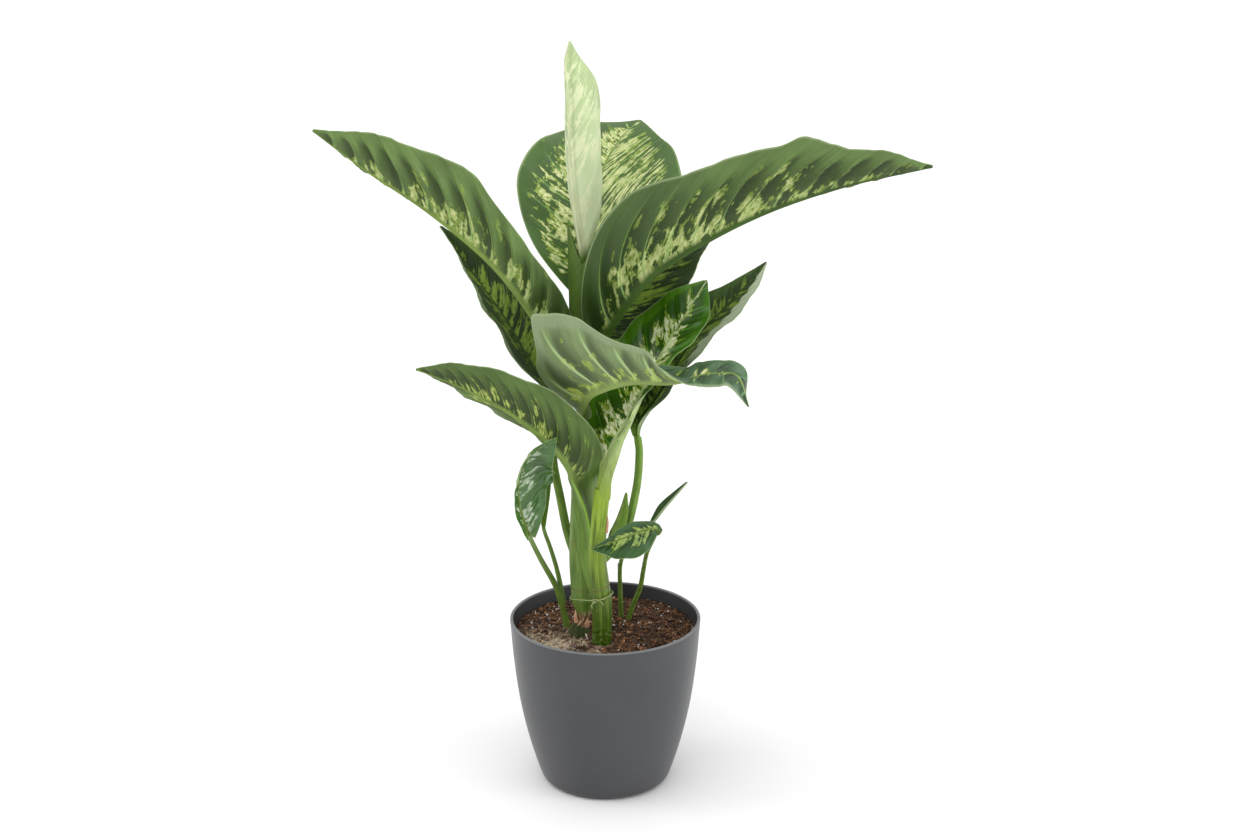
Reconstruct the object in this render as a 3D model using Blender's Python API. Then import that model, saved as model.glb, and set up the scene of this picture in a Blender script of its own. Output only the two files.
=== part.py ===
"""A potted dieffenbachia: round pot, soil, two canes bound together, and every leaf with its own petiole.

The tables are in millimetres, with +X to the right, +Y away from the viewer and +Z up.
Meshes are made in metres.
"""

import math

import bmesh
import bpy
import numpy as np

MM = 0.001
GAP = 0.3

POT_HEIGHT = 163.0
POT_RIM_RADIUS = 90.0
POT_WALL = 3.0
POT_FLOOR = 4.0
POT_FLOOR_RADIUS = 52.0
POT_INSIDE_FOOT = (8.0, 58.6)
LIP_ROUNDING = 0.8
# Height and outer radius, from the underside up to where the rim begins.
POT_OUTER = (
    (0.0, 50.0), (1.0, 55.5), (3.5, 60.0), (8.0, 62.6),
    (25.0, 68.3), (50.0, 75.1), (82.0, 81.7), (123.0, 87.0),
)
AXIS_RADIUS = 0.01
POT_SIDES = 48

SOIL_EDGE_HEIGHT = 149.0
SOIL_CROWN = 3.5
SOIL_TOP_RADIUS = 84.0
SOIL_TOP_RINGS = (66.0, 44.0, 22.0)

LEAF_THICKNESS = 1.0
RIB_END_RADIUS = 0.6
RIB_DEPTH = 1.5
CANE_SIDES = 24
CANE_ROWS = 12
STUB_SIDES = 10
STUB_ROWS = 4
# Rows along a blade, and columns across each half of it.
LEAF_GRID = (16, 3)
SMALL_LEAF_GRID = (9, 2)
STALK_ROWS = 6
PETIOLE_SIDES = 16
PETIOLE_ROWS = 8
SHARP_ANGLE = math.radians(50)

# Centre points from the buried end up, and the radius at each.
CANES = {
    "cane_main": {
        "points": (
            (-25, -15, 124), (-25, -15, 152), (-24, -15, 158), (-21, -15, 165), (-20, -14, 173), (-21, -13, 185),
            (-23, -8, 224), (-22, -4, 263), (-19, 0, 330), (-17, 0, 378), (-18, 0, 430), (-18, 0, 442),
        ),
        "radii": (8.0, 8.3, 7.4, 4.4, 7.2, 10.4, 10.6, 10.4, 9.5, 9.0, 8.4, 8.2),
    },
    "cane_second": {
        "points": (
            (-3, -35, 124), (-3, -35, 152), (-3, -34, 191), (-7, -30, 233), (-5, -27, 271), (-2, -25, 299),
        ),
        "radii": (9.8, 9.8, 9.8, 9.5, 9.3, 8.6),
    },
}

STUB = {
    "points": ((14, 45, 126), (14, 45, 160), (13, 46, 181), (12, 48, 198)),
    "radii": (1.4, 1.3, 1.1, 0.5),
}

TIE_HEIGHT = 188.0
TIE_RADIUS = 0.7
TIE_SIDES = 8
TIE_CANE_CENTRES = ((-21.2, -12.8, 10.5), (-3.0, -34.1, 9.9))

# stalk: petiole from its foot to the blade. rib: blade from base to tip.
# face: the way the upper side looks, at even steps along the blade.
# left, right: half widths at even steps.
# fold, curl: degrees up from flat at the rib, and how much more of it out to the margin.
LEAVES = {
    "leaf_back": {
        "stalk": ((-18, 2, 424), (-15, 13, 447), (-14, 24, 470)),
        "rib": ((-14, 24, 470), (-12, 55, 520), (-3, 100, 568), (15, 145, 593), (33, 175, 606)),
        "face": ((-0.1, -0.75, 0.6), (-0.05, -0.6, 0.8), (-0.1, -0.4, 0.9)),
        "left": (10, 47, 68, 76, 68, 48, 1),
        "right": (16, 50, 70, 78, 72, 50, 1),
        "fold": ((12, 6, 2), (15, 0, 14)),
        "curl": ((6, 4, -8), (6, 4, -8)),
        "radius": (4.8, 3.8),
    },
    "leaf_upper_left": {
        "stalk": ((-20, 0, 373), (-30, -4, 393), (-48, -8, 429)),
        "rib": (
            (-48, -8, 429), (-63, -12, 459), (-97, -20, 507),
            (-153, -30, 558), (-208, -32, 596), (-253, -30, 630),
        ),
        "face": ((0.3, 0.55, 0.6), (0.3, 0.55, 0.6), (0.25, 0.45, 0.7)),
        "left": (22, 36, 41, 44, 52, 44, 32, 1),
        "right": (18, 40, 50, 54, 54, 44, 28, 1),
        "fold": ((22, 34, 30), (42, 38, 25)),
        "curl": ((10, 8, 0), (0, -10, 0)),
        "radius": (5.0, 4.2),
    },
    "leaf_upper_right": {
        "stalk": ((-11, -4, 398), (-7, -12, 423), (0, -18, 443)),
        "rib": (
            (0, -18, 443), (14, -24, 468), (44, -30, 504), (83, -36, 531),
            (140, -40, 560), (206, -40, 582), (287, -35, 599),
        ),
        "face": ((-0.25, 0.55, 0.6), (-0.2, 0.55, 0.65), (-0.15, 0.45, 0.75)),
        "left": (14, 50, 68, 70, 60, 46, 26, 1),
        "right": (10, 52, 76, 70, 60, 52, 31, 1),
        "fold": ((42, 38, 25), (18, 29, 22)),
        "curl": ((0, -10, 0), (10, 8, 0)),
        "radius": (6.2, 5.6),
    },
    "leaf_mid_left": {
        "stalk": (
            (-27, 0, 221), (-35, 4, 245), (-42, 12, 278),
            (-48, 18, 310), (-49, 21, 340), (-45, 22, 369),
        ),
        "rib": ((-45, 22, 369), (-65, 35, 393), (-93, 60, 436), (-126, 80, 479), (-155, 90, 520)),
        "face": ((0.35, -0.55, 0.5), (0.4, -0.55, 0.5), (0.3, -0.4, 0.7)),
        "left": (14, 34, 40, 36, 24, 10, 1),
        "right": (14, 34, 46, 46, 34, 17, 1),
        "fold": ((46, 36, 38), (15, 15, 15)),
        "radius": (4.2, 3.6),
    },
    "leaf_behind": {
        "stalk": ((-16, 6, 403), (-17, 14, 422), (-16, 22, 437)),
        "rib": ((-16, 22, 437), (16, 45, 461), (59, 75, 490), (104, 95, 513)),
        "face": ((-0.3, -0.5, 0.6), (-0.3, -0.45, 0.7), (-0.2, -0.3, 0.8)),
        "left": (14, 40, 50, 44, 28, 1),
        "right": (18, 40, 46, 41, 27, 1),
        "fold": ((20, 15, 15), (17, 0, 20)),
        "radius": (4.2, 3.4),
    },
    "leaf_mid_right": {
        "stalk": ((-2, -22, 228), (16, -6, 243), (29, 12, 285), (32, 22, 318), (31, 30, 340)),
        "rib": ((31, 30, 340), (51, 45, 368), (80, 65, 411), (120, 85, 449), (153, 100, 483)),
        "face": ((-0.3, -0.6, 0.3), (-0.2, -0.6, 0.5), (-0.26, -0.5, 0.63)),
        "left": (14, 32, 38, 36, 27, 13, 1),
        "right": (14, 28, 34, 36, 31, 20, 1),
        "fold": ((15, 12, 10), (65, 41, 10)),
        "radius": (4.2, 3.6),
    },
    "leaf_front": {
        "stalk": ((-17, -4, 341), (-22, -14, 358), (-22, -22, 375)),
        "rib": (
            (-22, -22, 375), (-14, -35, 393), (0, -50, 404), (26, -80, 418),
            (60, -118, 428), (92, -150, 444), (112, -168, 447), (122, -175, 422),
        ),
        "face": (
            (0.0, -0.25, 0.87), (0.34, -0.12, 0.82), (0.17, 0.2, 0.9),
            (0.43, -0.44, 0.7), (0.62, -0.4, 0.5),
        ),
        "left": (8, 16, 24, 31, 28, 18, 14, 1),
        "right": (10, 79, 75, 47, 36, 28, 17, 1),
        "fold": ((24, 28, 33, 29, -45), (70, 42, 37, -19, -35)),
        "radius": (5.2, 4.4),
        "sweep": 0.07,
        "lobe": 0.04,
    },
    "leaf_front_right": {
        "stalk": ((-2, -25, 290), (1, -28, 312), (8, -31, 340)),
        "rib": (
            (8, -31, 340), (21, -36, 367), (34, -36, 394),
            (48, -32, 423), (68, -22, 455), (92, -15, 493),
        ),
        "face": ((-0.8, -0.4, 0.3), (-0.55, -0.55, 0.4), (-0.1, -0.6, 0.45), (0.15, -0.6, 0.4)),
        "left": (12, 40, 47, 46, 42, 26, 1),
        "right": (5, 10, 18, 25, 25, 21, 1),
        "fold": ((24, 10, -20, 20), (41, 39, 23, -40)),
        "radius": (8.5, 7.2),
        "lobe": 0.0,
    },
    "leaf_lower_left": {
        "stalk": ((-5, -34, 182), (-13, -27, 231), (-16, -21, 264), (-23, -19, 291), (-30, -22, 315)),
        "rib": (
            (-30, -22, 315), (-43, -28, 337), (-75, -36, 369),
            (-117, -42, 396), (-161, -44, 416), (-168, -44, 418),
        ),
        "face": ((0.3, 0.6, 0.5), (0.25, 0.6, 0.55), (0.2, 0.5, 0.6)),
        "left": (18, 36, 43, 40, 34, 24, 1),
        "right": (14, 36, 42, 40, 34, 22, 1),
        "fold": ((25, 22, 20), (33, 17, 16)),
        "curl": ((10, 5, 0), (0,)),
        "radius": (5.8, 4.4),
        "lobe": 0.05,
    },
    "sheath_top": {
        "stalk": ((-19, 0, 443), (-20, 0, 456), (-21, 0, 470)),
        "rib": ((-21, 0, 470), (-28, 0, 478), (-31, 0, 500), (-32, 0, 542)),
        "face": ((1, 0, 0),),
        "left": (24, 28, 22, 14, 1),
        "right": (24, 28, 22, 14, 1),
        "fold": ((10,), (10,)),
        "curl": ((165, 110, 50), (165, 110, 50)),
        "radius": (8.2, 8.0),
        "sweep": 0.0,
        "lobe": 0.0,
        "wave": 0.0,
    },
    "leaf_spear": {
        "stalk": ((-20, 0, 487), (-20, 0, 500), (-21, 0, 518)),
        "rib": ((-21, 0, 518), (-26, -2, 564), (-27, -2, 609), (-27, -1, 657), (-29, 2, 703)),
        "face": ((0.3, 0.9, 0.1),),
        "left": (16, 44, 54, 56, 50, 30, 1),
        "right": (14, 34, 43, 45, 40, 24, 1),
        "fold": ((10,), (20,)),
        "curl": ((110, 120), (230,)),
        "radius": (4.5, 3.4),
        "sweep": 0.05,
        "lobe": 0.0,
        "wave": 0.0,
    },
    "shoot_left_leaf": {
        "stalk": (
            (-34, 1, 126), (-36, 0, 150), (-41, -4, 177),
            (-46, -8, 196), (-60, -20, 229), (-71, -30, 259),
        ),
        "rib": ((-71, -30, 259), (-78, -38, 289), (-77, -45, 316), (-67, -48, 338), (-43, -45, 354)),
        "face": ((0.21, -0.82, 0.13), (0.71, -0.56, -0.09), (0.63, -0.58, 0.25)),
        "left": (4, 7, 11, 10, 8, 6, 1),
        "right": (7, 21, 27, 34, 32, 22, 1),
        "fold": ((30,), (27,)),
        "radius": (3.5, 2.2),
        "lobe": 0.05,
        "wave": 2.5,
        "waves": 5.0,
    },
    "shoot_left_spear": {
        "stalk": ((-39, -2, 178), (-45, -6, 212), (-51, -12, 237), (-57, -15, 258)),
        "rib": ((-57, -15, 258), (-58, -14, 275), (-56, -12, 297), (-50, -8, 320)),
        "face": ((0.3, -0.8, 0.2),),
        "left": (3, 7, 7, 1),
        "right": (3, 7, 7, 1),
        "fold": ((50,), (50,)),
        "radius": (2.5, 1.8),
        "sweep": 0.05,
        "lobe": 0.0,
        "wave": 0.0,
    },
    "shoot_right_leaf": {
        "stalk": (
            (19, 24, 126), (22, 20, 150), (26, 16, 167), (33, 8, 189),
            (36, -2, 211), (39, -14, 232), (47, -24, 259),
        ),
        "rib": ((47, -24, 259), (32, -31, 259), (15, -42, 256), (-12, -52, 250)),
        "face": ((-0.2, -0.6, 0.8), (-0.1, -0.6, 0.8), (-0.1, -0.5, 0.8)),
        "left": (4, 21, 26, 20, 1),
        "right": (6, 11, 10, 5, 1),
        "fold": ((5,), (15,)),
        "radius": (2.8, 1.8),
        "wave": 1.0,
    },
    "shoot_right_spear": {
        "stalk": (
            (15, 28, 126), (15, 27, 151), (14, 24, 181),
            (15, 18, 212), (26, 12, 237), (44, 8, 254),
        ),
        "rib": ((44, 8, 254), (55, 8, 268), (77, 12, 293)),
        "face": ((-0.5, -0.6, 0.4),),
        "left": (3, 6, 4, 1),
        "right": (3, 7, 5, 1),
        "fold": ((20,), (60,)),
        "radius": (2.6, 1.6),
        "sweep": 0.05,
        "lobe": 0.0,
        "wave": 0.0,
    },
    "sheath_right": {
        "stalk": ((-3, -20, 236), (4, -16, 240), (7, -12, 246)),
        "rib": ((7, -12, 246), (13, -4, 260), (20, 2, 286)),
        "face": ((0.7, 0.2, -0.2),),
        "left": (6, 8, 6, 1),
        "right": (6, 8, 6, 1),
        "fold": ((30,), (30,)),
        "curl": ((50,), (50,)),
        "radius": (4.0, 3.6),
        "sweep": 0.0,
        "lobe": 0.0,
        "wave": 0.0,
    },
}

# The solids that trim the foot of each petiole.
TRIMS = {
    "leaf_back": ("cane_main", "sheath_top"),
    "leaf_upper_left": ("cane_main",),
    "leaf_upper_right": ("cane_main",),
    "leaf_mid_left": ("cane_main",),
    "leaf_behind": ("cane_main",),
    "leaf_mid_right": ("cane_second",),
    "leaf_front": ("cane_main",),
    "leaf_front_right": ("cane_second",),
    "leaf_lower_left": ("cane_main", "cane_second"),
    "shoot_left_spear": ("shoot_left_leaf",),
    "sheath_right": ("cane_second", "leaf_mid_right"),
}

# The solids that stand in holes in the soil.
ROOTED = ("cane_main", "cane_second", "stem_stub", "shoot_left_leaf", "shoot_right_leaf", "shoot_right_spear")

COLOURS = {
    "pot": (0.10, 0.103, 0.108),
    "soil": (0.12, 0.065, 0.035),
    "cane_main": (0.24, 0.40, 0.10),
    "cane_second": (0.27, 0.44, 0.10),
    "stem_tie": (0.45, 0.50, 0.25),
    "leaf_spear": (0.62, 0.72, 0.42),
    "leaf_front": (0.20, 0.32, 0.14),
    "leaf_front_right": (0.10, 0.30, 0.04),
}
GREEN = (0.07, 0.19, 0.05)


def unit(v):
    v = np.asarray(v, float)
    return v / np.linalg.norm(v, axis=-1, keepdims=True)


def smooth_path(points, per_span=24):
    """A rounded curve through the points, and the place of each of them in it."""
    p = np.asarray(points, float)
    p = np.vstack([2 * p[0] - p[1], p, 2 * p[-1] - p[-2]])
    curve = []
    for i in range(1, len(p) - 2):
        spans = np.linalg.norm(np.diff(p[i - 1 : i + 3], axis=0), axis=1) ** 0.5
        t = np.concatenate([[0], np.cumsum(spans)])
        u = np.linspace(t[1], t[2], per_span, endpoint=False)[:, None]

        def between(a, b, first, last):
            return (t[last] - u) / (t[last] - t[first]) * a + (u - t[first]) / (t[last] - t[first]) * b

        near = [between(p[i - 1 + k], p[i + k], k, k + 1) for k in range(3)]
        far = [between(near[k], near[k + 1], k, k + 2) for k in range(2)]
        curve.append(between(far[0], far[1], 1, 2))
    curve.append(p[-2][None])
    return np.vstack(curve), [k * per_span for k in range(len(points))]


def along(values, t):
    """Values at even steps from 0 to 1, read at t on a smooth curve through them."""
    values = np.asarray(values, float)
    t = np.clip(np.asarray(t, float), 0, 1)
    steps = len(values) - 1
    if steps == 0:
        return np.broadcast_to(values[0], t.shape + values.shape[1:]).copy()
    v = np.concatenate([2 * values[:1] - values[1:2], values, 2 * values[-1:] - values[-2:-1]])
    i = np.minimum((t * steps).astype(int), steps - 1)
    f = t * steps - i
    if values.ndim > 1:
        f = f[..., None]
    a, b, c, d = v[i], v[i + 1], v[i + 2], v[i + 3]
    square = 2 * a - 5 * b + 4 * c - d
    cube = 3 * b - a - 3 * c + d
    return 0.5 * (2 * b + (c - a) * f + square * f**2 + cube * f**3)


class Leaf:
    """One leaf: a round petiole that passes over into a thin blade with a raised rib below."""

    def __init__(self, spec):
        stalk, rib = spec["stalk"], spec["rib"]
        self.path, places = smooth_path(stalk + rib[1:])
        steps = np.linalg.norm(np.diff(self.path, axis=0), axis=1)
        self.arc = np.concatenate([[0], np.cumsum(steps)])
        self.join = self.arc[places[len(stalk) - 1]]
        self.length = self.arc[-1] - self.join
        self.face = unit(spec["face"])
        self.widths = (spec["left"], spec["right"])
        self.fold = spec["fold"]
        self.curl = spec.get("curl", ((0,), (0,)))
        self.radius = spec["radius"]
        self.sweep = spec.get("sweep", 0.10)
        self.lobe = spec.get("lobe", 0.03)
        self.wave = spec.get("wave", 3.0)
        self.waves = spec.get("waves", 4.0)

    def point(self, d):
        return np.stack([np.interp(d, self.arc, self.path[:, k]) for k in range(3)], -1)

    def frame(self, d):
        """Point, direction, left and up at distance d along the petiole and blade."""
        d = np.asarray(d, float)
        inside = np.clip(d, 0, self.arc[-1])
        ahead = self.point(np.clip(inside + 5, 0, self.arc[-1]))
        behind = self.point(np.clip(inside - 5, 0, self.arc[-1]))
        forward = unit(ahead - behind)
        point = self.point(inside) + forward * (d - inside)[..., None]
        face = along(self.face, (d - self.join) / self.length)
        up = unit(face - (face * forward).sum(-1, keepdims=True) * forward)
        return point, forward, np.cross(up, forward), up

    def rib_radius(self, s):
        return RIB_END_RADIUS + (self.radius[1] - RIB_END_RADIUS) * (1 - np.clip(s, 0, 1)) ** 1.1

    def reach(self, s, side):
        margin = np.clip(s + self.sweep * 4 * s * (1 - s), 0, 1)
        return margin, np.maximum(along(self.widths[side], margin), self.rib_radius(s) * 1.15)

    def surface(self, s, v, side):
        """The blade at row s, and at share v of the way from the rib to the margin on one side."""
        s, v = np.broadcast_arrays(np.asarray(s, float), np.asarray(v, float))
        margin, reach = self.reach(s, side)
        y = s + (margin - s - self.lobe * np.exp(-((s / 0.10) ** 2))) * v**1.5
        point, _, left, up = self.frame(self.join + y * self.length)
        fold = np.radians(along(self.fold[side], s))
        curl = np.radians(along(self.curl[side], s))
        curl = np.where(np.abs(curl) < 1e-4, 1e-4, curl)
        across = reach * (np.sin(fold + curl * v) - np.sin(fold)) / curl
        rise = reach * (np.cos(fold) - np.cos(fold + curl * v)) / curl
        ripple = self.wave * v**2 * np.sin(2 * math.pi * (self.waves * s + 0.37 * side))
        ripple = ripple * reach / max(self.widths[side])
        across = across - ripple * np.sin(fold + curl * v)
        rise = rise + ripple * np.cos(fold + curl * v)
        outward = 1 if side == 0 else -1
        return point + left * (outward * across)[..., None] + up * rise[..., None]

    def mesh(self, rows, columns, stalk_rows):
        """Rings from the foot to the tip, each over the top from left to right and back below."""
        u = np.linspace(0, 1, rows + 1)
        s = 0.002 + 0.996 * (0.5 * u + 0.25 * (1 - np.cos(np.pi * u)))
        radius = self.rib_radius(s)
        halves, normals = [], []
        for side in (0, 1):
            edge = (radius / self.reach(s, side)[1])[:, None]
            v = edge + (1 - edge) * (1 - (1 - np.linspace(0, 1, columns + 1)) ** 1.1)
            row = s[:, None]
            out = self.surface(row, np.minimum(v + 0.01, 1), side) - self.surface(row, v - 0.01, side)
            ahead = self.surface(row + 0.002, v, side) - self.surface(row - 0.002, v, side)
            halves.append(self.surface(row, v, side))
            normals.append(unit(np.cross(out, ahead)) * (-1 if side == 0 else 1))
        centre, _, _, up = self.frame(self.join + s * self.length)
        middle = np.concatenate([halves[0][:, ::-1], centre[:, None], halves[1]], 1)
        normal = np.concatenate([normals[0][:, ::-1], up[:, None], normals[1]], 1)
        top = middle + normal * LEAF_THICKNESS / 2
        below = middle - normal * LEAF_THICKNESS / 2
        below[:, columns + 1] -= up * (RIB_DEPTH * radius)[:, None]
        rings = np.concatenate([top, below[:, ::-1]], 1)
        d = np.linspace(0, self.join, stalk_rows + 1)[:-1]
        point, _, left, up = self.frame(d)
        half_ring = 2 * columns + 3
        angle = math.pi - (np.arange(half_ring) + 0.5) * math.pi / half_ring
        angle = np.concatenate([angle, -angle[::-1]])
        r = (self.radius[0] + (self.radius[1] - self.radius[0]) * d / self.join)[:, None, None]
        ring = np.sin(angle)[:, None] * up[:, None] - np.cos(angle)[:, None] * left[:, None]
        return loft(np.concatenate([point[:, None] + r * ring, rings]))


def loft(rings):
    """A closed mesh over rings of points, split alike on its upper and lower halves."""
    count, around = rings.shape[:2]
    points = rings.reshape(-1, 3)
    faces = []
    for i in range(count - 1):
        for j in range(around):
            a, b = i * around + j, i * around + (j + 1) % around
            c, d = b + around, a + around
            faces += [(a, c, b), (a, d, c)] if j < around // 2 else [(a, d, b), (b, d, c)]
    end = (count - 1) * around
    faces += [(0, j, j + 1) for j in range(1, around - 1)]
    faces += [(end, end + j + 1, end + j) for j in range(1, around - 1)]
    faces = np.array(faces)
    corners = points[faces]
    if np.linalg.det(corners).sum() < 0:
        faces = faces[:, ::-1]
    return points, faces


def stem_mesh(stem, sides, rows, grow=0.0):
    return tube_mesh(stem["points"], stem["radii"], sides, rows, grow)


def tube_mesh(points, radii, sides, rows, grow=0.0):
    """A round stem through the points. grow makes a copy that is larger all round."""
    path, places = smooth_path(points)
    arc = np.concatenate([[0], np.cumsum(np.linalg.norm(np.diff(path, axis=0), axis=1))])
    known = arc[places]
    d = np.unique(np.concatenate([known, np.linspace(0, arc[-1], rows)]))
    d = d[np.concatenate([[True], np.diff(d) > 1.5])]
    d[-1] = arc[-1]
    r = np.interp(d, known, radii) + grow
    centre = np.stack([np.interp(d, arc, path[:, k]) for k in range(3)], -1)
    forward = unit(np.gradient(centre, axis=0))
    centre[0] -= forward[0] * grow
    centre[-1] += forward[-1] * grow
    side = unit(np.cross(forward, (0.0, 1.0, 0.0)))
    other = np.cross(forward, side)
    angle = np.arange(sides) * 2 * math.pi / sides
    ring = side[:, None] * np.cos(angle)[:, None] + other[:, None] * np.sin(angle)[:, None]
    return loft(centre[:, None] + ring * r[:, None, None])


def turned_mesh(profile, sides):
    """A closed solid turned about Z from (height, radius) points that start and end on the axis."""
    angle = np.arange(sides) * 2 * math.pi / sides
    circle = np.stack([np.cos(angle), np.sin(angle), np.zeros(sides)], -1)
    return loft(np.array([circle * r + (0.0, 0.0, z) for z, r in profile]))


def add_object(name, mesh_data):
    points, faces = mesh_data
    mesh = bpy.data.meshes.new(name)
    mesh.from_pydata((points * MM).tolist(), [], np.asarray(faces).tolist())
    obj = bpy.data.objects.new(name, mesh)
    bpy.context.scene.collection.objects.link(obj)
    bm = bmesh.new()
    bm.from_mesh(mesh)
    bmesh.ops.recalc_face_normals(bm, faces=bm.faces)
    bm.to_mesh(mesh)
    bm.free()
    return obj


def subtract(obj, cutters):
    """Takes the cutters away from the object and removes them."""
    for cutter in cutters:
        modifier = obj.modifiers.new("Trim", "BOOLEAN")
        modifier.operation = "DIFFERENCE"
        modifier.solver = "EXACT"
        modifier.object = cutter
        cutter.hide_render = True
        cutter.display_type = "WIRE"
    graph = bpy.context.evaluated_depsgraph_get()
    result = bpy.data.meshes.new_from_object(obj.evaluated_get(graph))
    obj.modifiers.clear()
    obj.data = result
    for cutter in cutters:
        bpy.data.objects.remove(cutter)
    keep_largest(obj)


def keep_largest(obj):
    """Drops the loose bits that a trim leaves inside a stem."""
    bm = bmesh.new()
    bm.from_mesh(obj.data)
    left = set(bm.verts)
    groups = []
    while left:
        group, edge = set(), [left.pop()]
        while edge:
            vert = edge.pop()
            group.add(vert)
            near = {e.other_vert(vert) for e in vert.link_edges} & left
            left -= near
            edge.extend(near)
        groups.append(group)
    groups.sort(key=len)
    for group in groups[:-1]:
        bmesh.ops.delete(bm, geom=list(group), context="VERTS")
    bm.to_mesh(obj.data)
    bm.free()


def colour(obj):
    name = obj.name
    material = bpy.data.materials.new(name)
    material.use_nodes = True
    surface = material.node_tree.nodes["Principled BSDF"]
    surface.inputs["Base Color"].default_value = (*COLOURS.get(name, GREEN), 1)
    surface.inputs["Roughness"].default_value = 0.5
    obj.data.materials.clear()
    obj.data.materials.append(material)


def pot_mesh():
    lip = POT_HEIGHT - LIP_ROUNDING
    outer = POT_OUTER + ((lip, POT_RIM_RADIUS), (POT_HEIGHT, POT_RIM_RADIUS - LIP_ROUNDING))
    inner = tuple((z, pot_inner_radius(z)) for z in (lip, 123.0, 82.0, 25.0))
    top = ((POT_HEIGHT, inner[0][1] + LIP_ROUNDING),)
    floor = (POT_INSIDE_FOOT, (POT_FLOOR, POT_FLOOR_RADIUS), (POT_FLOOR, AXIS_RADIUS))
    return turned_mesh(((0.0, AXIS_RADIUS),) + outer + top + inner + floor, POT_SIDES)


def pot_inner_radius(z):
    heights = [p[0] for p in POT_OUTER] + [POT_HEIGHT]
    radii = [p[1] for p in POT_OUTER] + [POT_RIM_RADIUS]
    return float(np.interp(z, heights, radii)) - POT_WALL


def soil_mesh():
    base = POT_FLOOR + GAP
    foot_height, foot_radius = POT_INSIDE_FOOT
    bottom = ((base, AXIS_RADIUS), (base, POT_FLOOR_RADIUS - 2 * GAP), (foot_height, foot_radius - 2 * GAP))
    wall = tuple((z, pot_inner_radius(z) - GAP) for z in (25.0, 82.0, 123.0, SOIL_EDGE_HEIGHT))
    top = tuple((soil_height(r), r) for r in SOIL_TOP_RINGS + (AXIS_RADIUS,))
    return turned_mesh(bottom + wall + top, POT_SIDES)


def soil_height(r):
    return SOIL_EDGE_HEIGHT + SOIL_CROWN * (1 - (r / SOIL_TOP_RADIUS) ** 2)


def tie_mesh():
    """A band round both canes, at the even distance of their shared outline."""
    grow = GAP + TIE_RADIUS + 0.2
    (ax, ay, ar), (bx, by, br) = TIE_CANE_CENTRES
    direction = math.atan2(by - ay, bx - ax)
    lean = math.acos((ar - br) / math.hypot(bx - ax, by - ay))
    path = []
    for x, y, r, first, last in (
        (ax, ay, ar, direction + lean, direction + 2 * math.pi - lean),
        (bx, by, br, direction - lean, direction + lean),
    ):
        for angle in np.linspace(first, last, 14):
            path.append((x + (r + grow) * math.cos(angle), y + (r + grow) * math.sin(angle), TIE_HEIGHT))
    path = np.array(path)
    ahead = unit(np.roll(path, -1, 0) - np.roll(path, 1, 0))
    out = np.cross(ahead, (0.0, 0.0, 1.0))
    angle = np.arange(TIE_SIDES) * 2 * math.pi / TIE_SIDES
    up = np.array((0.0, 0.0, 1.0))
    ring = out[:, None] * np.cos(angle)[:, None] + up * np.sin(angle)[:, None]
    points = (path[:, None] + TIE_RADIUS * ring).reshape(-1, 3)
    faces = []
    for i in range(len(path)):
        for j in range(TIE_SIDES):
            a = i * TIE_SIDES + j
            b = i * TIE_SIDES + (j + 1) % TIE_SIDES
            c = (b + TIE_SIDES) % len(points)
            d = (a + TIE_SIDES) % len(points)
            faces += [(a, c, b), (a, d, c)]
    return points, np.array(faces)


def stem_copy(name):
    """A copy of a cane or petiole, larger by the gap, to cut with."""
    if name in CANES:
        return add_object("cut_" + name, stem_mesh(CANES[name], CANE_SIDES, CANE_ROWS, GAP))
    if name == "stem_stub":
        return add_object("cut_" + name, stem_mesh(STUB, STUB_SIDES, STUB_ROWS, GAP))
    spec = LEAVES[name]
    steps = np.linalg.norm(np.diff(np.array(spec["stalk"], float), axis=0), axis=1)
    share = np.concatenate([[0], np.cumsum(steps)]) / steps.sum()
    radii = spec["radius"][0] + (spec["radius"][1] - spec["radius"][0]) * share
    return add_object("cut_" + name, tube_mesh(spec["stalk"], radii, PETIOLE_SIDES, PETIOLE_ROWS, 3 * GAP))


def build():
    for obj in list(bpy.data.objects):
        bpy.data.objects.remove(obj)
    made = [add_object("pot", pot_mesh())]
    for name, cane in CANES.items():
        made.append(add_object(name, stem_mesh(cane, CANE_SIDES, CANE_ROWS)))
    made.append(add_object("stem_stub", stem_mesh(STUB, STUB_SIDES, STUB_ROWS)))
    made.append(add_object("stem_tie", tie_mesh()))
    for name, spec in LEAVES.items():
        rows, columns = SMALL_LEAF_GRID if name.startswith(("shoot", "sheath")) else LEAF_GRID
        obj = add_object(name, Leaf(spec).mesh(rows, columns, STALK_ROWS))
        if name in TRIMS:
            subtract(obj, [stem_copy(other) for other in TRIMS[name]])
        made.append(obj)
    soil = add_object("soil", soil_mesh())
    subtract(soil, [stem_copy(name) for name in ROOTED])
    made.append(soil)
    for obj in made:
        colour(obj)
        obj.data.shade_smooth()
        obj.data.set_sharp_from_angle(angle=SHARP_ANGLE)


build()
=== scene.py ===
"""The looks of a potted dieffenbachia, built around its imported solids.

Tables are in millimetres, with +X to the right, +Y away from the viewer and +Z up. Meshes are made in metres.
"""

import math
from functools import reduce

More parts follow.
